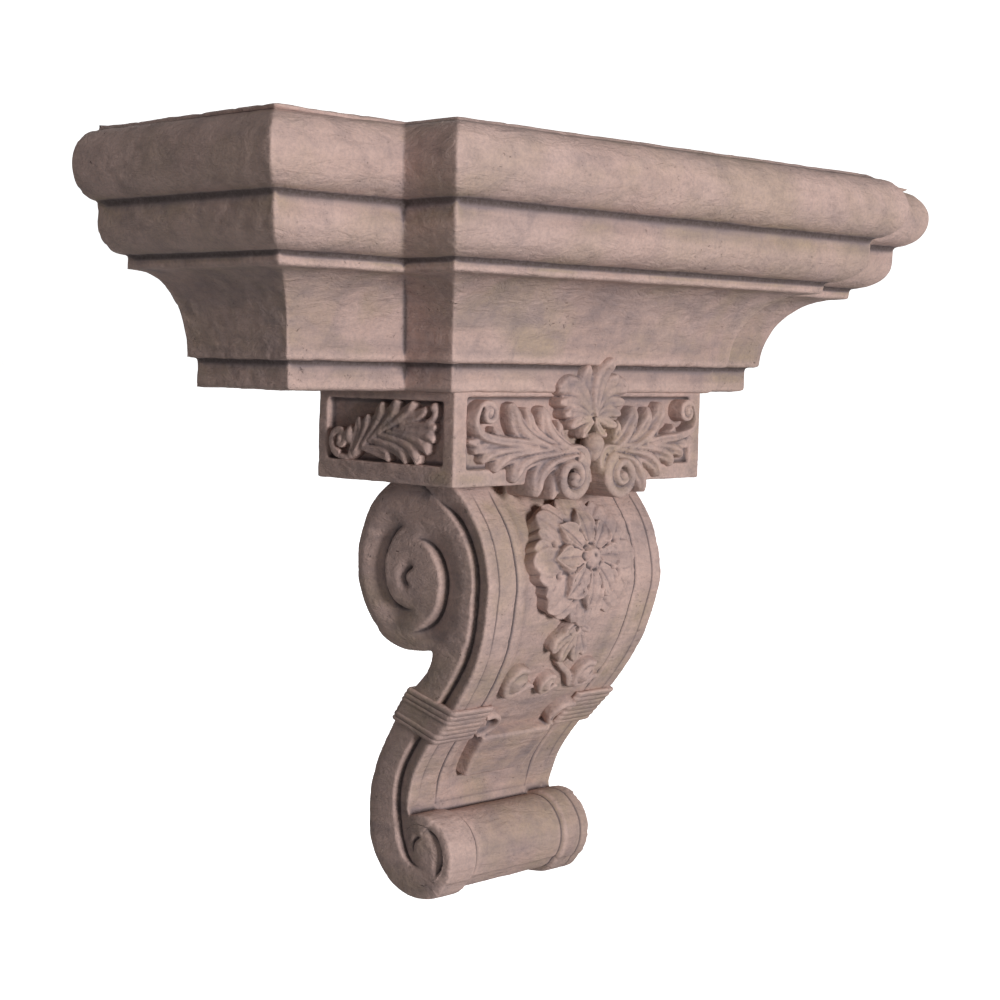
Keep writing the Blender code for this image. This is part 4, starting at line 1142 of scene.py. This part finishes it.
def tablet_parts():
    """Tablet in the lower field with the curled ribbon ends at its upper corners."""
    u = np.linspace(-1, 1, 60)
    top, under = [], []
    for s in np.linspace(0, 1, 34):
        v, half = -331 - 47 * s, 49 - 7 * s
        rim = np.minimum(1, np.minimum((1 - np.abs(u)) * 14, min(s, 1 - s) * 14))
        high = 9.5 - 2.2 * (1 - np.sqrt(rising(1 - (1 - rim) ** 2)))
        top.append(np.stack([u * half, np.full_like(u, v), high], 1))
        low = v - 1.5 * (1 - s)
        under.append(np.stack([u * (half + 2.5), np.full_like(u, low), np.full_like(u, -14.0)], 1))
    curl = [(64, -310), (52, -309), (42, -314), (40, -322), (47, -329), (56, -332)]
    hook = finger(curl, 5.5, 7, 14, 0, 0, 0.9, 0, 0.1, 0, 34)
    fold = finger([(62, -318), (54, -323), (50, -334)], 12, 1.5, 14, 0.2, 0, 0.9, 0, 0, 0, 20)
    return [slab(np.array(top), np.array(under)), hook, fold, mirrored(hook), mirrored(fold)]


# Operators.

class BracketSettings(bpy.types.PropertyGroup):
    """Sizes and colours of the bracket that a user would change."""

    body_colour: FloatVectorProperty(
        name="Body", description="Main colour of the terracotta", subtype="COLOR",
        default=(0.52, 0.355, 0.305), min=0, max=1)
    pale_colour: FloatVectorProperty(
        name="Pale", description="Rubbed, lighter terracotta", subtype="COLOR",
        default=(0.65, 0.46, 0.405), min=0, max=1)
    ochre_colour: FloatVectorProperty(
        name="Ochre", description="Warmer, browner patches", subtype="COLOR",
        default=(0.44, 0.325, 0.235), min=0, max=1)
    # The patina colour and amount also paint shade in the hollows.
    patina_colour: FloatVectorProperty(
        name="Patina", description="Grey-mauve patina in the hollows", subtype="COLOR",
        default=(0.255, 0.20, 0.205), min=0, max=1)
    patina_and_shade_amount: FloatProperty(name="Patina and shade amount", description="How much patina lies in the hollows",
                                 default=0.5, min=0, max=1, subtype="FACTOR")
    grain: FloatProperty(name="Grain", description="Strength of the cast surface's grain", default=0.7,
                         min=0, max=1, subtype="FACTOR")
    console_voxel: FloatProperty(
        name="Console detail", description="Size of the console's faces before thinning",
        default=0.00135, min=0.0008, max=0.004, unit="LENGTH")
    carving_voxel: FloatProperty(
        name="Carving detail", description="Size of the carving's faces before thinning",
        default=0.00095, min=0.0006, max=0.004, unit="LENGTH")
    petals: IntProperty(name="Petals", description="Petals of the flower on the console",
                        default=8, min=5, max=12)


class BRACKET_OT_shelf(bpy.types.Operator):
    """Make the moulded break-front shelf"""

    bl_idname = "bracket.shelf"
    bl_label = "Shelf"

    def execute(self, context):
        made = new_object("shelf", *shelf_parts())
        weathered(made, 11, wobble=0.6, pits=0.2, chips=0.8, wide=26, rough=1.7)
        finished(made, finish_for("shelf_finish"))
        return {"FINISHED"}


class BRACKET_OT_block(bpy.types.Operator):
    """Make the block under the shelf with its sunk panels"""

    bl_idname = "bracket.block"
    bl_label = "Block"

    def execute(self, context):
        def box(name, lo, hi):
            x, y, z = zip(lo, hi)
            verts = [(a, b, c) for a in x for b in y for c in z]
            faces = [(0, 1, 3, 2), (4, 6, 7, 5), (0, 4, 5, 1), (2, 3, 7, 6), (0, 2, 6, 4), (1, 5, 7, 3)]
            return new_object(name, np.array(verts, float) + [0, 0, FOOT_Z], faces)

        w, low, high, sink = FRONT_PANEL
        near, far, foot, head, side_sink = SIDE_PANEL
        made = box("block", (-BLOCK_HALF_WIDTH, -BLOCK_DEPTH, -BLOCK_HEIGHT), (BLOCK_HALF_WIDTH, 0, 4))
        tools = [box("front_cut", (-w, -BLOCK_DEPTH - 5, low), (w, -BLOCK_DEPTH + sink, high))]
        for sign in (-1, 1):
            a, b = sorted((sign * (BLOCK_HALF_WIDTH - side_sink), sign * (BLOCK_HALF_WIDTH + 5)))
            tools.append(box("side_cut", (a, -far, foot), (b, -near, head)))
        for tool in tools:
            cut = made.modifiers.new(tool.name, "BOOLEAN")
            cut.operation, cut.object, cut.solver = "DIFFERENCE", tool, "EXACT"
        baked(made)
        for tool in tools:
            bpy.data.objects.remove(tool)
        melted(made, BLOCK_VOXEL)
        set_positions(made.data, Skin(made.data).relaxed(4))
        weathered(made, 23, wobble=0.5, pits=0.14)
        thinned(made, BLOCK_LIMIT)
        finished(made, finish_for("block_finish"))
        return {"FINISHED"}


class BRACKET_OT_front_carving(bpy.types.Operator):
    """Carve the acanthus arms and the leaf crest on the front of the block"""

    bl_idname = "bracket.front_carving"
    bl_label = "Front carving"

    def execute(self, context):
        arm = acanthus_arm()
        parts = arm + [mirrored(part) for part in arm] + crest()
        voxel = context.scene.bracket_settings.carving_voxel / MM
        made = carved("front_carving", parts, voxel, on_front, FRONT_LIMIT, 31, chips=0.5, wobble=0.3)
        finished(made, finish_for("front_carving_finish", 0.6))
        return {"FINISHED"}


class BRACKET_OT_side_carving(bpy.types.Operator):
    """Carve a leaf spray on each side of the block"""

    bl_idname = "bracket.side_carving"
    bl_label = "Side carvings"

    def execute(self, context):
        material = finish_for("side_carving_finish", 0.55)
        for sign, name in ((-1, "left_spray"), (1, "right_spray")):
            made = carved(name, spray(), SPRAY_VOXEL, on_side(sign), SPRAY_LIMIT, 41, flip=sign > 0,
                          chips=0.4, wobble=0.25)
            finished(made, material)
        return {"FINISHED"}


class BRACKET_OT_console(bpy.types.Operator):
    """Make the scrolled console with its volutes, borders and roll"""

    bl_idname = "bracket.console"
    bl_label = "Console"

    def execute(self, context):
        voxel = context.scene.bracket_settings.console_voxel / MM
        made = melted(new_object("console", *console_parts()), voxel)
        skin = Skin(made.data)
        skin.points = skin.relaxed(2)
        skin.points = carve_console(skin.points) + [0, 0, FOOT_Z]
        set_positions(made.data, skin.relaxed(1))
        thinned(made, CONSOLE_LIMIT)
        weathered(made, 53, pits=0.13, chips=0.8)
        finished(made, finish_for("console_finish"))
        return {"FINISHED"}


class BRACKET_OT_garland(bpy.types.Operator):
    """Carve the flower, its wreath and the drop below it"""

    bl_idname = "bracket.garland"
    bl_label = "Garland"

    def execute(self, context):
        material = finish_for("garland_finish", 0.6)
        voxel = context.scene.bracket_settings.carving_voxel / MM
        made = carved("garland", garland_parts(petal_ring_tree(), material), voxel, on_console, GARLAND_LIMIT,
                      61, relax=1, extra=drilled, chips=0.5, wobble=0.25)
        finished(made, material)
        return {"FINISHED"}


class BRACKET_OT_bands(bpy.types.Operator):
    """Wrap a reeded band round each border of the console"""

    bl_idname = "bracket.bands"
    bl_label = "Reeded bands"

    def execute(self, context):
        tree = reed_tree()
        material = finish_for("band_finish", 0.55)
        for sign, name in ((-1, "left_band"), (1, "right_band")):
            verts, quads, values = band_strip(sign)
            made = new_object(name, verts, quads)
            for label, (data, kind, field) in values.items():
                store = made.data.attributes.new(label, kind, "POINT")
                store.data.foreach_set(field, data.astype(np.float32))
            with_tree(made, tree, {"Reeds": REEDS, "Rise": REED_RISE, "Material": material})
            weathered(made, 71 + sign, wobble=0.3, pits=0.1, chips=0.4, wide=6)
            finished(made, material)
        return {"FINISHED"}


class BRACKET_OT_tablet(bpy.types.Operator):
    """Set the tablet and the ribbon ends in the lower field"""

    bl_idname = "bracket.tablet"
    bl_label = "Tablet"

    def execute(self, context):
        made = carved("tablet", tablet_parts(), TABLET_VOXEL, on_console, TABLET_LIMIT, 83,
                      chips=0.5, wobble=0.3)
        # The tablet's finish carries more patina than the rest: a darker copy of the terracotta that paints
        # shade on the tablet.
        finished(made, finish_for("tablet_finish", 0.85))
        return {"FINISHED"}


def add_floor():
    """Pale floor that sweeps up behind the bracket."""
    turns = np.linspace(0, 1, 24) * math.pi / 2
    sweep = [(-0.2 + SWEEP_RADIUS * math.sin(a), SWEEP_RADIUS * (1 - math.cos(a))) for a in turns]
    path = [(-9.0, 0.0)] + sweep + [(1.3, 7.0)]
    side = np.array([0.7283, -0.6853, 0.0])
    ahead = np.array([0.6853, 0.7283, 0.0])
    verts = [side * s * FLOOR_HALF_WIDTH + ahead * (d + FLOOR_AWAY) * 1000 + [0, 0, h * 1000 - FLOOR_DROP]
             for s in (-1, 1) for d, h in path]
    count = len(path)
    faces = [(i, i + count, i + count + 1, i + 1) for i in range(count - 1)]
    floor = new_object("floor", np.array(verts), faces)
    floor.data.polygons.foreach_set("use_smooth", np.ones(len(faces), bool))
    pale = bpy.data.materials.new("pale_floor")
    pale.use_nodes = True
    shader = pale.node_tree.nodes["Principled BSDF"]
    for socket, value in (("Base Color", (0.93, 0.93, 0.93, 1)), ("Roughness", 0.9),
                          ("Emission Color", (1, 1, 1, 1)), ("Emission Strength", 0.8)):
        shader.inputs[socket].default_value = value
    floor.data.materials.append(pale)
    floor.visible_diffuse = False


def add_lights(scene):
    """Soft studio light: an even world, a key lamp near the camera, a fill and one behind."""
    world = bpy.data.worlds.new("studio")
    scene.world = world
    world.use_nodes = True
    background = world.node_tree.nodes["Background"]
    background.inputs["Color"].default_value = (1.0, 0.97, 0.96, 1)
    background.inputs["Strength"].default_value = 0.12
    for name, energy, size, place, aim in LAMPS:
        light = bpy.data.lights.new(name, "AREA")
        light.energy, light.size = energy, size
        lamp = bpy.data.objects.new(name, light)
        scene.collection.objects.link(lamp)
        lamp.location = place
        way = np.array(aim) - np.array(place)
        lamp.rotation_euler = (math.acos(-way[2] / np.linalg.norm(way)), 0, -math.atan2(way[0], way[1]))


def add_camera(scene):
    """Camera at the photo's angle."""
    yaw, pitch, roll = CAMERA_YAW, CAMERA_PITCH, CAMERA_ROLL
    ahead = np.array([math.sin(yaw) * math.cos(pitch), math.cos(yaw) * math.cos(pitch), math.sin(pitch)])
    right = np.array([math.cos(yaw), -math.sin(yaw), 0.0])
    up = np.cross(right, ahead)
    across = right * math.cos(roll) + up * math.sin(roll)
    up = up * math.cos(roll) - right * math.sin(roll)
    data = bpy.data.cameras.new("camera")
    data.sensor_width = SENSOR_WIDTH
    data.lens = FOCAL_SHARE * SENSOR_WIDTH
    data.shift_x, data.shift_y = CAMERA_SHIFT
    camera = bpy.data.objects.new("camera", data)
    scene.collection.objects.link(camera)
    matrix = Matrix.Identity(4)
    for i in range(3):
        matrix[i][0], matrix[i][1], matrix[i][2] = across[i], up[i], -ahead[i]
        matrix[i][3] = CAMERA_PLACE[i]
    camera.matrix_world = matrix
    scene.camera = camera


class BRACKET_OT_stage(bpy.types.Operator):
    """Set the pale floor, the soft light and the camera"""

    bl_idname = "bracket.stage"
    bl_label = "Stage"

    def execute(self, context):
        add_floor()
        add_lights(context.scene)
        add_camera(context.scene)
        context.scene.view_settings.view_transform = "Standard"
        return {"FINISHED"}


class BRACKET_PT_panel(bpy.types.Panel):
    """Lists the bracket's settings and steps"""

    bl_idname = "BRACKET_PT_panel"
    bl_label = "Cast wall bracket"
    bl_space_type = "VIEW_3D"
    bl_region_type = "UI"
    bl_category = "Bracket"

    def draw(self, context):
        for name in BracketSettings.__annotations__:
            self.layout.prop(context.scene.bracket_settings, name)
        for step in STEPS:
            self.layout.operator(step.bl_idname)


STEPS = (BRACKET_OT_stage, BRACKET_OT_shelf, BRACKET_OT_block, BRACKET_OT_front_carving,
         BRACKET_OT_side_carving, BRACKET_OT_console, BRACKET_OT_garland, BRACKET_OT_bands,
         BRACKET_OT_tablet)
CLASSES = (BracketSettings, *STEPS, BRACKET_PT_panel)


def register():
    for cls in CLASSES:
        bpy.utils.register_class(cls)
    bpy.types.Scene.bracket_settings = PointerProperty(type=BracketSettings)


def unregister():
    del bpy.types.Scene.bracket_settings
    for cls in reversed(CLASSES):
        bpy.utils.unregister_class(cls)


def main():
    register()
    for step in STEPS:
        group, name = step.bl_idname.split(".")
        getattr(getattr(bpy.ops, group), name)()


if __name__ == "__main__":
    main()
